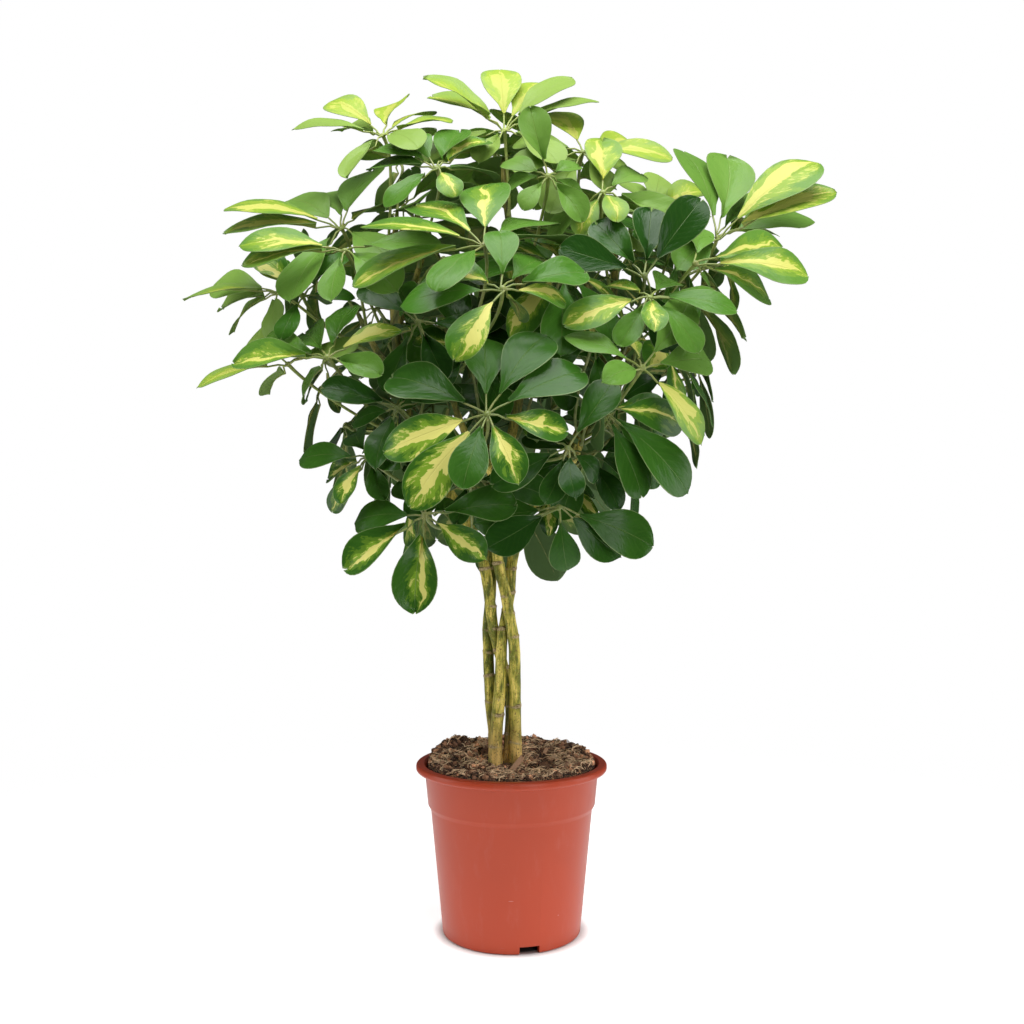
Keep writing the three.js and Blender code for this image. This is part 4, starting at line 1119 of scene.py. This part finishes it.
class PLANT_OT_stems(bpy.types.Operator):
    """Four twisted stems with streaked bark and leaf scars"""

    bl_idname = "plant.stems"
    bl_label = "Stems"

    def execute(self, context):
        settings = context.scene.plant_stems
        draw = random.Random(STEM_SEED)
        material = bark()
        for name in STEM_NAMES:
            node = NODES[name]
            rod, end = bare_stem(f"{name}_bare", stem_stations(node), settings, draw)
            upper = crown_stem(f"{name}_crown", node, end - np.array([0, 0, 6 * MM]))
            for mark in ("scar", "groove"):
                set_mark(upper.data, mark, 0)
            take(rod, upper)
            bpy.ops.object.join()
            stem = finished(rod, f"{name}_bark", material)
            set_mark(stem.data, "age", STEM_AGE[name])
            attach(stem, "root")
            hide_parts(name)
        return {"FINISHED"}


# ---------------------------------------------------------------------------- leaves

LEAF_SEED = 29
BLADE_TIMES = (-0.235, 0, 0.28, 0.64, 0.91, 1)  # the CAD rings, in shares of the blade, from the hub
HUB_RADIUS = 3.4 * MM

# What the photograph shows of a leaf: its tone, from 0, old and dark, to 1, young and lime, and its
# leaflets with yellow: the column and row of the tip, how wide the yellow is, and to which side.
LOOKS = {
    "leaf_front_middle": (
        0.13,
        [(570, 430, 0.3, 0.1), (518, 478, 0.36, 0), (408, 508, 0.6, 0.15), (377, 447, 0.5, 0.1)],
    ),
    "leaf_front_high": (
        0.3,
        [(453, 360, 0.5, 0.4), (522, 318, 0.45, 0.2), (568, 302, 0.45, 0.2), (438, 268, 0.3, 0.4)],
    ),
    "leaf_front_top": (
        0.34,
        [(415, 205, 0.28, 0), (487, 192, 0.14, 0), (365, 232, 0.34, 0.25), (352, 285, 0.3, 0.2)],
    ),
    "leaf_front_low_left": (
        0.1,
        [(414, 614, 0.26, 0.25), (487, 558, 0.36, -0.1), (348, 573, 0.26, 0.1)],
    ),
    "leaf_front_low": (0.06, []),
    "leaf_front_right_low": (0.14, [(672, 432, 0.16, 0.1)]),
    "leaf_front_dark": (0.04, []),
    "leaf_right_upright": (0.02, []),
    "leaf_right_outer": (0.42, [(781, 250, 0.14, 0.2), (807, 276, 0.3, 0.1), (773, 297, 0.1, 0)]),
    "leaf_right_pale": (0.45, [(703, 443, 0.5, 0.1), (628, 335, 0.4, 0), (668, 328, 0.4, 0)]),
    "leaf_right_inner": (0.36, [(563, 325, 0.4, 0.1), (655, 330, 0.3, 0), (605, 272, 0.3, 0)]),
    "leaf_right_far": (0.46, [(823, 163, 0.5, 0.3), (836, 187, 0.6, 0), (765, 228, 0.3, 0)]),
    "leaf_left_big": (0.36, [(402, 328, 0.6, 0.2), (235, 363, 0.2, 0.2)]),
    "leaf_left_lime": (0.75, [(197, 385, 0.3, 0.1)]),
    "leaf_left_low": (0.12, [(325, 478, 0.4, 0.1), (330, 513, 0.45, 0), (350, 512, 0.4, 0.2)]),
    "leaf_left_high": (0.5, [(222, 230, 0.45, 0), (234, 217, 0.3, 0.2), (395, 205, 0.3, 0)]),
    "leaf_left_front": (0.46, [(245, 250, 0.3, 0.2)]),
    "leaf_left_middle": (0.18, [(258, 257, 0.55, 0.5)]),
    "leaf_left_far": (0.66, [(232, 330, 0.2, 0), (187, 301, 0.2, 0.2)]),
    "leaf_top": (
        0.86,
        [(500, 72, 0.5, 0), (540, 77, 0.4, 0.2), (432, 98, 0.3, 0.3), (425, 73, 0.3, 0.3)],
    ),
    "leaf_top_left": (0.84, [(330, 103, 0.4, 0.1), (400, 100, 0.6, 0.1), (432, 112, 0.3, 0)]),
    "leaf_top_front_left": (0.38, [(455, 195, 0.3, 0), (480, 146, 0.3, 0.3)]),
    "leaf_top_right": (
        0.76,
        [(555, 110, 0.6, 0.2), (604, 138, 0.5, 0.35), (635, 143, 0.6, 0), (672, 160, 0.45, 0)],
    ),
    "leaf_top_front": (0.5, []),
    "leaf_top_front_right": (
        0.58,
        [(523, 207, 0.4, 0.1), (578, 230, 0.2, 0), (617, 226, 0.25, 0), (604, 138, 0.5, 0.35)],
    ),
    "leaf_right_back_high": (0.8, [(702, 188, 0.3, 0)]),
    "leaf_inner_left": (0.08, [(380, 345, 0.35, 0.4)]),
    "leaf_inner_low_left": (0.06, []),
    "leaf_inner_middle": (0.1, [(405, 345, 0.3, 0.2)]),
    "leaf_inner_low": (0.04, []),
    "leaf_inner_low_right": (0.05, []),
    "leaf_inner_high": (0.08, []),
    "leaf_inner_right": (0.15, [(592, 318, 0.4, 0.1)]),
}
SAME_TIP = 24  # pixels within which a tip of the list is a leaflet's own
VARIEGATED_SHARE = 0.4  # of the leaflets that the photograph hides
TONE_BY_HEIGHT = ((0.45, 0.05), (0.62, 0.16), (0.78, 0.42), (0.88, 0.8))


def seen_at(place):
    """The pixel of the photograph in which a place shows."""
    scale = FOCAL_PIXELS / (place[1] - EYE.y)
    return AXIS_PIXEL + (place[0] - EYE.x) * scale, PICTURE / 2 - (place[2] - EYE.z) * scale


def leaflet_rings(places, joined, tip):
    """Centres from hub to tip, the direction to the left edge and the width of one leaflet."""
    layers = layers_from(joined, {tip}, len(BLADE_TIMES))
    rings = [places[sorted(layer)] for layer in reversed(layers[1:])]
    root = rings[0].mean(0)
    centres = [root]
    widths = []
    for k, ring in enumerate(rings[1:]):
        others = [np.delete(ring, i, 0).mean(0) for i in range(BLADE_CORNERS)]
        keel = int(np.argmin(np.linalg.norm(ring - others, axis=1)))
        edges = np.delete(ring, keel, 0)
        middle = edges.mean(0)
        centres.append(middle)
        widths.append(np.linalg.norm(edges[0] - edges[1]))
        if k == 2:
            up = unit(middle - ring[keel])
            across = unit(edges[0] - edges[1])
    centres.append(places[tip])
    along = unit(centres[-1] - centres[1])
    left = np.cross(up, along)
    left = unit(across * np.sign(np.dot(across, left)))
    return np.array(centres), left, max(widths), layers


def read_leaf(node):
    """What a fine leaf needs of its CAD node: leaflets, hub and the line of the stalk."""
    places, joined = net_of(node)
    tips = [corner for corner, near in enumerate(joined) if len(near) == BLADE_CORNERS]
    leaflets = []
    used = set()
    for tip in tips:
        centres, left, width, layers = leaflet_rings(places, joined, tip)
        leaflets.append((centres, left, width))
        used |= set().union(*layers)
    rest = set(range(len(places))) - used
    crown = next(corner for corner in rest if not joined[corner] & rest)
    upper = places[sorted(joined[crown])]
    hub = upper.mean(0)
    faces = unit(places[crown] - hub)
    top = {corner for corner in rest - {crown} if joined[corner] & used}
    inner = [near & rest for near in joined]
    stalk = [places[sorted(layer)].mean(0) for layer in layers_from(inner, top, STALK_RINGS)]
    return leaflets, hub, faces, stalk


def leaflet_look(name, tip, hub, draw):
    """Tone, width of the yellow, and its side, for one leaflet."""
    if name in LOOKS:
        tone, yellow = LOOKS[name]
        column, row = seen_at(tip)
        for x, y, patch, shift in yellow:
            if math.hypot(x - column, y - row) < SAME_TIP:
                return tone + draw.uniform(-0.04, 0.04), patch, shift
        return tone + draw.uniform(-0.07, 0.05), 0.0, 0.0
    heights, tones = zip(*TONE_BY_HEIGHT)
    tone = float(np.interp(hub[2], heights, tones)) + draw.uniform(-0.08, 0.08)
    patch = draw.uniform(0.15, 0.6) if draw.random() < VARIEGATED_SHARE else 0.0
    return tone, patch, draw.uniform(-0.35, 0.35)


BREADTH = ((0.45, 0.92), (0.6, 0.88), (0.8, 1.12))  # of a leaflet against its CAD width, by height
FOLDED_SHARE = 0.22  # of the leaflets, which fold deeper along their midrib
TIP_SHAPES = (-2.6, -1.2, 0.0, 1.4, 2.4)  # millimetres, from notched to pointed
STALK_WIDTHS = ([0, 0.05, 0.3, 0.86, 0.95, 1], [1.35, 1.2, 1, 1.02, 1.3, 1.7])  # from hub to foot
BLADE_CORNERS = 3  # of a CAD leaflet's ring: its two edges and its keel
STALK_RINGS = 4  # of a CAD leaf's stalk
UNDERSIDE, STALK = 1, 2  # places of these finishes in a leaf's list, after the upper side


def make_sheet(settings):
    """The one flat blade that every leaflet is a copy of, with its length and width as its map."""
    nothing_selected()
    bpy.ops.mesh.primitive_grid_add(x_subdivisions=settings.along, y_subdivisions=settings.across, size=2)
    sheet = bpy.context.object
    sheet.data.uv_layers.remove(sheet.data.uv_layers[0])
    grid = points_of(sheet.data)
    along = (grid[:, 0] + 1) / 2
    along = 1 - (1 - along) ** 1.6
    across = grid[:, 1]
    placed = np.stack([along, across, np.zeros(len(grid))], 1)
    set_points(sheet.data, placed)
    corners = np.empty(len(sheet.data.loops), int)
    sheet.data.loops.foreach_get("vertex_index", corners)
    chart = sheet.data.uv_layers.new(name="leaflet")
    spots = np.stack([along, across / 2 + 0.5], 1)[corners]
    chart.data.foreach_set("uv", spots.ravel().astype(np.float32))
    return sheet


def blade_width(along, foot, blunt):
    """Half the width of an obovate blade along its length, as a share of its widest."""
    along = np.clip(along, 0, 1)
    widest = foot / (foot + blunt)
    most = widest**foot * (1 - widest) ** blunt
    return np.maximum(along**foot * (1 - along) ** blunt / most, 0.06)


def shaped_blade(sheet, centres, left, width, settings, draw):
    """A copy of the flat blade on a leaflet's arch, with its fold, waves and notched or pointed tip."""
    blade = linked("blade", sheet.data.copy())
    grid = points_of(sheet.data)
    along, across = grid[:, 0], grid[:, 1]
    side = np.abs(across)
    length = np.linalg.norm(centres[-1] - centres[1])
    tip = draw.choice(TIP_SHAPES) * MM / length
    reached = along + tip * (1 - side) ** 2 * np.clip((along - 0.8) / 0.2, 0, 1) ** 2
    middle = through(BLADE_TIMES, centres, reached)
    ahead = through(BLADE_TIMES, centres, np.minimum(along + 0.01, 1.005))
    behind = through(BLADE_TIMES, centres, along - 0.01)
    forward = units(ahead - behind)
    twist = math.radians(draw.uniform(-8, 8)) * along
    up = units(np.cross(forward, left))
    out = left * np.cos(twist)[:, None] + up * np.sin(twist)[:, None]
    up = units(np.cross(forward, out))
    heights, factors = zip(*BREADTH)
    width = width * np.interp(centres[0][2], heights, factors)
    half = 0.51 * width * blade_width(along, draw.uniform(1.0, 1.35), draw.uniform(0.5, 0.7))
    deep = draw.random() < FOLDED_SHARE
    fold = settings.fold * (draw.uniform(1.8, 2.6) if deep else draw.uniform(0.4, 1.4))
    cup = draw.uniform(-1.0, 2.2) * MM
    wave = settings.wave * draw.uniform(0.3, 1.6)
    phase = draw.uniform(0, math.tau)
    beat = draw.uniform(1.1, 2.3)
    height = -fold * (1 - side) ** 1.1 * (1 - 0.4 * along) - cup * side**2
    height += wave * side**2 * np.sin(math.tau * beat * along + phase + np.sign(across) * 0.9)
    height -= draw.uniform(0, 2.4) * MM * np.clip((along - 0.7) / 0.3, 0, 1) ** 2
    bend = draw.uniform(-2.2, 2.2) * MM * np.sin(np.pi * along)
    places = middle + out * (half * across + bend)[:, None] + up * height[:, None]
    set_points(blade.data, places)
    rib = np.array([places[np.argmin(np.abs(along - t) + side)] for t in np.linspace(0, 0.86, 6)])
    return blade, rib, up


def rib_line(hub, centres, blade_points, up):
    """The stalk of a leaflet and the rib under its blade, thinning towards the tip."""
    root, foot = centres[:2]
    line = [(hub + 0.25 * (root - hub), 1.25 * MM), (root, 1.15 * MM)]
    line.append((0.55 * root + 0.45 * foot, 1.0 * MM))
    for k, place in enumerate(blade_points):
        radius = (0.95 - 0.14 * k) * MM
        line.append((place - up * (0.35 * MM + 0.6 * radius), radius))
    return line


def stalk_line(hub, faces, stalk, radius):
    """A leaf's stalk on the CAD stalk's own line, from just under the hub into the stem's bark."""
    foot = stalk[-1] + unit(stalk[-1] - stalk[-2]) * 1.6 * MM
    stations = [hub - faces * 0.6 * MM, *stalk, foot]
    marks = lengths_along(stations)
    shares = np.linspace(0, 1, 17)
    places = through(marks, stations, shares * marks[-1])
    widths = np.interp(shares, *STALK_WIDTHS)
    return list(zip(places, widths * radius))


def make_hub(hub, faces):
    """The little knob in which the leaflets' stalks meet."""
    nothing_selected()
    bpy.ops.mesh.primitive_uv_sphere_add(segments=14, ring_count=8, radius=HUB_RADIUS)
    knob = bpy.context.object
    turn = Vector((0, 0, 1)).rotation_difference(Vector(faces)).to_matrix().to_4x4()
    knob.data.transform(Matrix.Translation(Vector(hub)) @ turn @ Matrix.Diagonal((1, 1, 0.62, 1)))
    knob.data.uv_layers.remove(knob.data.uv_layers[0])
    take(knob)
    bpy.ops.object.shade_smooth()
    return knob


def leaf_finishes():
    """The upper side, underside and stalk of a leaf, made once for all leaves."""
    names = ("leaf_upper", "leaf_underside", "leaf_stalk")
    if names[0] not in bpy.data.materials:
        return [blade_upper(), blade_under(), stalk_finish()]
    return [bpy.data.materials[name] for name in names]


def grow_leaf(name, form, looks, sheet, settings, draw):
    """One fine leaf from its form, which is its leaflets, hub and stalk, and the look of each leaflet."""
    leaflets, hub, faces, stalk = form
    finishes = leaf_finishes()
    blades = []
    lines = [stalk_line(hub, faces, stalk, settings.stalk)]
    for (centres, left, width), (tone, patch, shift) in zip(leaflets, looks):
        blade, rib, up = shaped_blade(sheet, centres, left, width, settings, draw)
        marks = {"tone": tone, "patch": patch, "shift": shift, "seed": draw.random()}
        for mark, value in marks.items():
            set_mark(blade.data, mark, value)
        blades.append(blade)
        lines.append(rib_line(hub, centres, rib, up.mean(0)))
    take(*blades)
    bpy.ops.object.join()
    leaf = blades[0]
    set_materials(leaf, *finishes)
    sides = {"offset": -1, "material_offset": UNDERSIDE, "material_offset_rim": 0}
    applied(leaf, "SOLIDIFY", thickness=settings.thickness, **sides)
    round_shaded(leaf, 50)
    ribs = rods(f"{name}_ribs", lines, 1)
    knob = make_hub(hub, faces)
    for piece in (ribs, knob):
        set_materials(piece, *finishes)
        piece.data.polygons.foreach_set("material_index", [STALK] * len(piece.data.polygons))
        set_mark(piece.data, "tone", looks[0][0])
    take(leaf, ribs, knob)
    bpy.ops.object.join()
    finished(leaf, name)
    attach(leaf, "root")
    return leaf


class PLANT_OT_leaves(bpy.types.Operator):
    """Compound leaves with glossy, variegated leaflets"""

    bl_idname = "plant.leaves"
    bl_label = "Leaves"

    def execute(self, context):
        settings = context.scene.plant_leaves
        sheet = make_sheet(settings)
        for number, name in enumerate(LEAF_NAMES):
            draw = random.Random(LEAF_SEED + number)
            form = read_leaf(NODES[name])
            looks = [leaflet_look(name, centres[-1], form[1], draw) for centres, _, _ in form[0]]
            leaf = grow_leaf(f"{name}_grown", form, looks, sheet, settings, draw)
            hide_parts(name)
        bpy.data.objects.remove(sheet)
        return {"FINISHED"}


# ---------------------------------------------------------------------------- inner leaves

INNER_SEED = 8
INNER_TRIES = 4000
CROWN_CENTRE = np.array([0, 0.02, 0.69])
CROWN_REACH = np.array([0.25, 0.18, 0.22])  # of the hubs that fill the crown
INNER_FRONT = ((0.74, -0.2), (0.8, 0.03))  # how far forward a hub may stand, by its height
INNER_LOWEST = 0.49
LEAFLET_ROOM = 6.5 * MM  # from an inner leaflet to the corners of the blades about it
STALK_ROOM = 3 * MM
HUB_ROOM = 9 * MM
STALK_DROP = (20 * MM, 110 * MM)  # how far below its hub a stalk may leave the bark
FEET_TRIED = 12
FEWEST_LEAFLETS = 5
# Painted shade: leaves inside the crown get a darker colour for the shade they stand in.
INNER_PAINTED_SHADE = 0.1  # how much lower the tone of a leaf inside the crown is
CELL = 14  # pixels of the picture in which the crown's own outline is kept


def umbrella(hub, faces, draw):
    """Evenly spread leaflets around a hub that looks one way, as (centres, left edge, width)."""
    count = draw.randrange(7, 10)
    start = draw.uniform(0, math.tau)
    first = unit(np.cross(faces, [0.3, 0.2, 1]))
    second = np.cross(faces, first)
    reach = draw.uniform(52, 74) * MM
    leaflets = []
    for k in range(count):
        turn = start + math.tau * (k + draw.uniform(-0.15, 0.15)) / count
        along = first * math.cos(turn) + second * math.sin(turn)
        length = reach * draw.uniform(0.8, 1.1)
        stretch = 0.235 * length
        droop = math.radians(draw.uniform(8, 30))
        centres = []
        for time in BLADE_TIMES:
            out = HUB_RADIUS + stretch + time * length
            fall = out * math.sin(droop) + 0.16 * length * max(time, 0) ** 2
            centres.append(hub + along * out * math.cos(droop) - faces * fall)
        leaflets.append((np.array(centres), unit(np.cross(faces, along)), 0.44 * length))
    return leaflets


def has_room(tree, places, room):
    return all(tree.find(place)[2] > room for place in places)


def cell_of(column, row):
    return int(column // CELL), int(row // CELL)


def leaflet_fits(leaflet, tree, held):
    """Whether a leaflet is clear of the others and its tip lies within the crown's outline."""
    centres, left, width = leaflet
    edges = [centres[k] + side * 0.38 * width * left for k in (2, 3, 4) for side in (-1, 1)]
    return has_room(tree, [*centres[1:], *edges], LEAFLET_ROOM) and cell_of(*seen_at(centres[-1])) in held


def corner_tree(places):
    tree = KDTree(len(places))
    for number, place in enumerate(places):
        tree.insert(place, number)
    tree.balance()
    return tree


def inner_leaf(tree, bark_places, held, draw):
    """The form of one more leaf that has room in the crown, or None where it has none."""
    spot = np.array([draw.uniform(-1, 1) for _ in range(3)])
    hub = CROWN_CENTRE + CROWN_REACH * spot
    heights, fronts = zip(*INNER_FRONT)
    if spot @ spot > 1 or hub[2] < INNER_LOWEST or hub[1] < np.interp(hub[2], heights, fronts):
        return None
    if not has_room(tree, [hub], HUB_ROOM):
        return None
    stray = 0.05 * np.array([draw.uniform(-1, 1) for _ in range(3)])
    outward = unit(np.array([hub[0], hub[1], 0.14]) + stray)
    leaflets = [leaflet for leaflet in umbrella(hub, outward, draw) if leaflet_fits(leaflet, tree, held)]
    if len(leaflets) < FEWEST_LEAFLETS:
        return None
    drop = hub[2] - bark_places[:, 2]
    low = bark_places[(drop > STALK_DROP[0]) & (drop < STALK_DROP[1])]
    if not len(low):
        return None
    order = np.argsort(np.linalg.norm(low - hub, axis=1))
    for foot in low[order[:FEET_TRIED]]:
        middle = 0.5 * (hub - outward * 6 * MM + foot) + np.array([0, 0, 7 * MM])
        stalk = [hub - outward * 4 * MM, middle, foot]
        if has_room(tree, [0.7 * hub + 0.3 * foot, middle, 0.3 * hub + 0.7 * foot], STALK_ROOM):
            return leaflets, hub, outward, stalk
    return None


class PLANT_OT_inner_leaves(bpy.types.Operator):
    """More leaves inside the crown, wherever there is room between the others"""

    bl_idname = "plant.inner_leaves"
    bl_label = "Inner Leaves"

    def execute(self, context):
        settings = context.scene.plant_leaves
        draw = random.Random(INNER_SEED)
        grown = [bpy.data.objects[f"{name}_grown"] for name in LEAF_NAMES]
        corners = np.concatenate([points_of(leaf.data) for leaf in grown])
        bark_places = np.concatenate([net_of(NODES[name])[0] for name in STEM_NAMES])
        columns, rows = seen_at(corners.T)
        held = {cell_of(column, row) for column, row in zip(columns, rows)}
        tree = corner_tree(corners)
        sheet = make_sheet(settings)
        count = 0
        for _ in range(INNER_TRIES):
            form = inner_leaf(tree, bark_places, held, draw)
            if form is None:
                continue
            count += 1
            looks = [leaflet_look("", centres[-1], form[1], draw) for centres, _, _ in form[0]]
            # Painted shade: each inner leaflet's tone is lowered for the shade inside the crown.
            looks = [(tone - INNER_PAINTED_SHADE, patch, shift) for tone, patch, shift in looks]
            leaf = grow_leaf(f"inner_leaf_{count:02d}", form, looks, sheet, settings, draw)
            corners = np.concatenate([corners, points_of(leaf.data)])
            tree = corner_tree(corners)
            if count == settings.inner:
                break
        bpy.data.objects.remove(sheet)
        return {"FINISHED"}


# ---------------------------------------------------------------------------- studio


FLOOR_GLOW = 0.7
# The lights: name, place, the point that it looks at, width and height, and the setting of its power.
LIGHTS = (
    ("overhead", (0.0, -0.45, 2.3), (0, 0, 0.6), (2.0, 1.6), "overhead"),
    ("front", (0.9, -1.9, 0.7), (0, 0, 0.35), (0.9, 1.2), "front"),
    ("left", (-1.5, -0.1, 0.6), (0, 0, 0.45), (0.7, 1.5), "side"),
    ("right", (1.5, 0.0, 0.6), (0, 0, 0.45), (0.7, 1.5), "side"),
)


def studio_floor(colour, radius):
    """A pale floor that takes the pot's shadow, with painted shade under the pot and at its foot, and fades
    into the white room.
    """
    finish = Finish("floor")
    x, y, _ = finish.parts(finish.place())
    away = (x * x + y * y) ** 0.5
    # Painted shade: the floor turns near black under the pot.
    shade_under_pot = away.step(POT_FOOT - 12 * MM, POT_FOOT - 2 * MM)
    finish.surface(finish.mix(shade_under_pot, (0.03, 0.03, 0.03), tuple(colour)), 0.8)
    finish.plug(finish.shader.inputs["Alpha"], 1 - away.step(0.12 * radius, 0.95 * radius))
    # Painted shade too: the glow is off under the pot and rises only from just inside its foot to 14 mm
    # outside it.
    glow = finish.mix(away.step(POT_FOOT - 2 * MM, POT_FOOT + 14 * MM), (0, 0, 0), (1, 1, 1))
    finish.plug(finish.shader.inputs["Emission Color"], glow)
    finish.shader.inputs["Emission Strength"].default_value = FLOOR_GLOW
    return finish.material


def white_room(light):
    """A room that looks pure white and lights the plant with a share of that white."""
    room = bpy.data.worlds.new("white_room")
    room.use_nodes = True
    tree = room.node_tree
    seen = tree.nodes["Background"]
    seen.inputs["Color"].default_value = (1, 1, 1, 1)
    given = tree.nodes.new("ShaderNodeBackground")
    given.inputs["Color"].default_value = (1, 1, 1, 1)
    given.inputs["Strength"].default_value = light
    rays = tree.nodes.new("ShaderNodeLightPath")
    chosen = tree.nodes.new("ShaderNodeMixShader")
    tree.links.new(rays.outputs["Is Camera Ray"], chosen.inputs[0])
    tree.links.new(given.outputs[0], chosen.inputs[1])
    tree.links.new(seen.outputs[0], chosen.inputs[2])
    tree.links.new(chosen.outputs[0], tree.nodes["World Output"].inputs["Surface"])
    return room


def soft_light(name, place, aim, size, power):
    light = bpy.data.lights.new(name, "AREA")
    light.shape = "RECTANGLE"
    light.size, light.size_y = size
    light.energy = power
    lamp = linked(name, light)
    lamp.location = place
    lamp.rotation_euler = (Vector(aim) - Vector(place)).to_track_quat("-Z", "Y").to_euler()


class PLANT_OT_studio(bpy.types.Operator):
    """Camera at the photograph's place, plain pale floor and soft light in a white room"""

    bl_idname = "plant.studio"
    bl_label = "Studio"

    def execute(self, context):
        settings = context.scene.plant_studio
        camera = bpy.data.cameras.new("photograph")
        camera.sensor_width = FILM
        camera.lens = FILM * FOCAL_PIXELS / PICTURE
        camera.shift_x = (PICTURE / 2 - AXIS_PIXEL) / PICTURE
        camera.clip_end = 50
        viewer = linked("photograph", camera)
        viewer.location = EYE
        viewer.rotation_euler = (math.pi / 2, 0, 0)
        context.scene.camera = viewer

        nothing_selected()
        bpy.ops.mesh.primitive_circle_add(
            vertices=96, radius=settings.floor_radius, fill_type="NGON", location=(0, 0, -0.3 * MM)
        )
        floor = studio_floor(settings.floor_colour, settings.floor_radius)
        finished(bpy.context.object, "floor", floor)
        context.scene.world = white_room(settings.air)
        context.scene.view_settings.view_transform = "Standard"

        for name, place, aim, size, power in LIGHTS:
            soft_light(name, place, aim, size, getattr(settings, power))
        return {"FINISHED"}


# ---------------------------------------------------------------------------- add-on


class PLANT_PT_sidebar(bpy.types.Panel):
    """The steps of the plant, in the order in which they are made"""

    bl_idname = "PLANT_PT_sidebar"
    bl_label = "Potted Umbrella Plant"
    bl_space_type = "VIEW_3D"
    bl_region_type = "UI"
    bl_category = "Plant"

    def draw(self, context):
        for step in STEPS:
            self.layout.operator(step.bl_idname)


STEPS = (
    PLANT_OT_studio,
    PLANT_OT_pot,
    PLANT_OT_soil,
    PLANT_OT_stems,
    PLANT_OT_leaves,
    PLANT_OT_inner_leaves,
)
SETTINGS = {
    "plant_studio": StudioSettings,
    "plant_pot": PotSettings,
    "plant_soil": SoilSettings,
    "plant_stems": StemSettings,
    "plant_leaves": LeafSettings,
}


def register():
    for name, group in SETTINGS.items():
        bpy.utils.register_class(group)
        setattr(bpy.types.Scene, name, bpy.props.PointerProperty(type=group))
    for step in STEPS:
        bpy.utils.register_class(step)
    bpy.utils.register_class(PLANT_PT_sidebar)


def unregister():
    bpy.utils.unregister_class(PLANT_PT_sidebar)
    for step in reversed(STEPS):
        bpy.utils.unregister_class(step)
    for name, group in SETTINGS.items():
        delattr(bpy.types.Scene, name)
        bpy.utils.unregister_class(group)


def main():
    register()
    bpy.ops.plant.studio()
    bpy.ops.plant.pot()
    bpy.ops.plant.soil()
    bpy.ops.plant.stems()
    bpy.ops.plant.leaves()
    bpy.ops.plant.inner_leaves()
    nothing_selected()


if __name__ == "__main__":
    main()
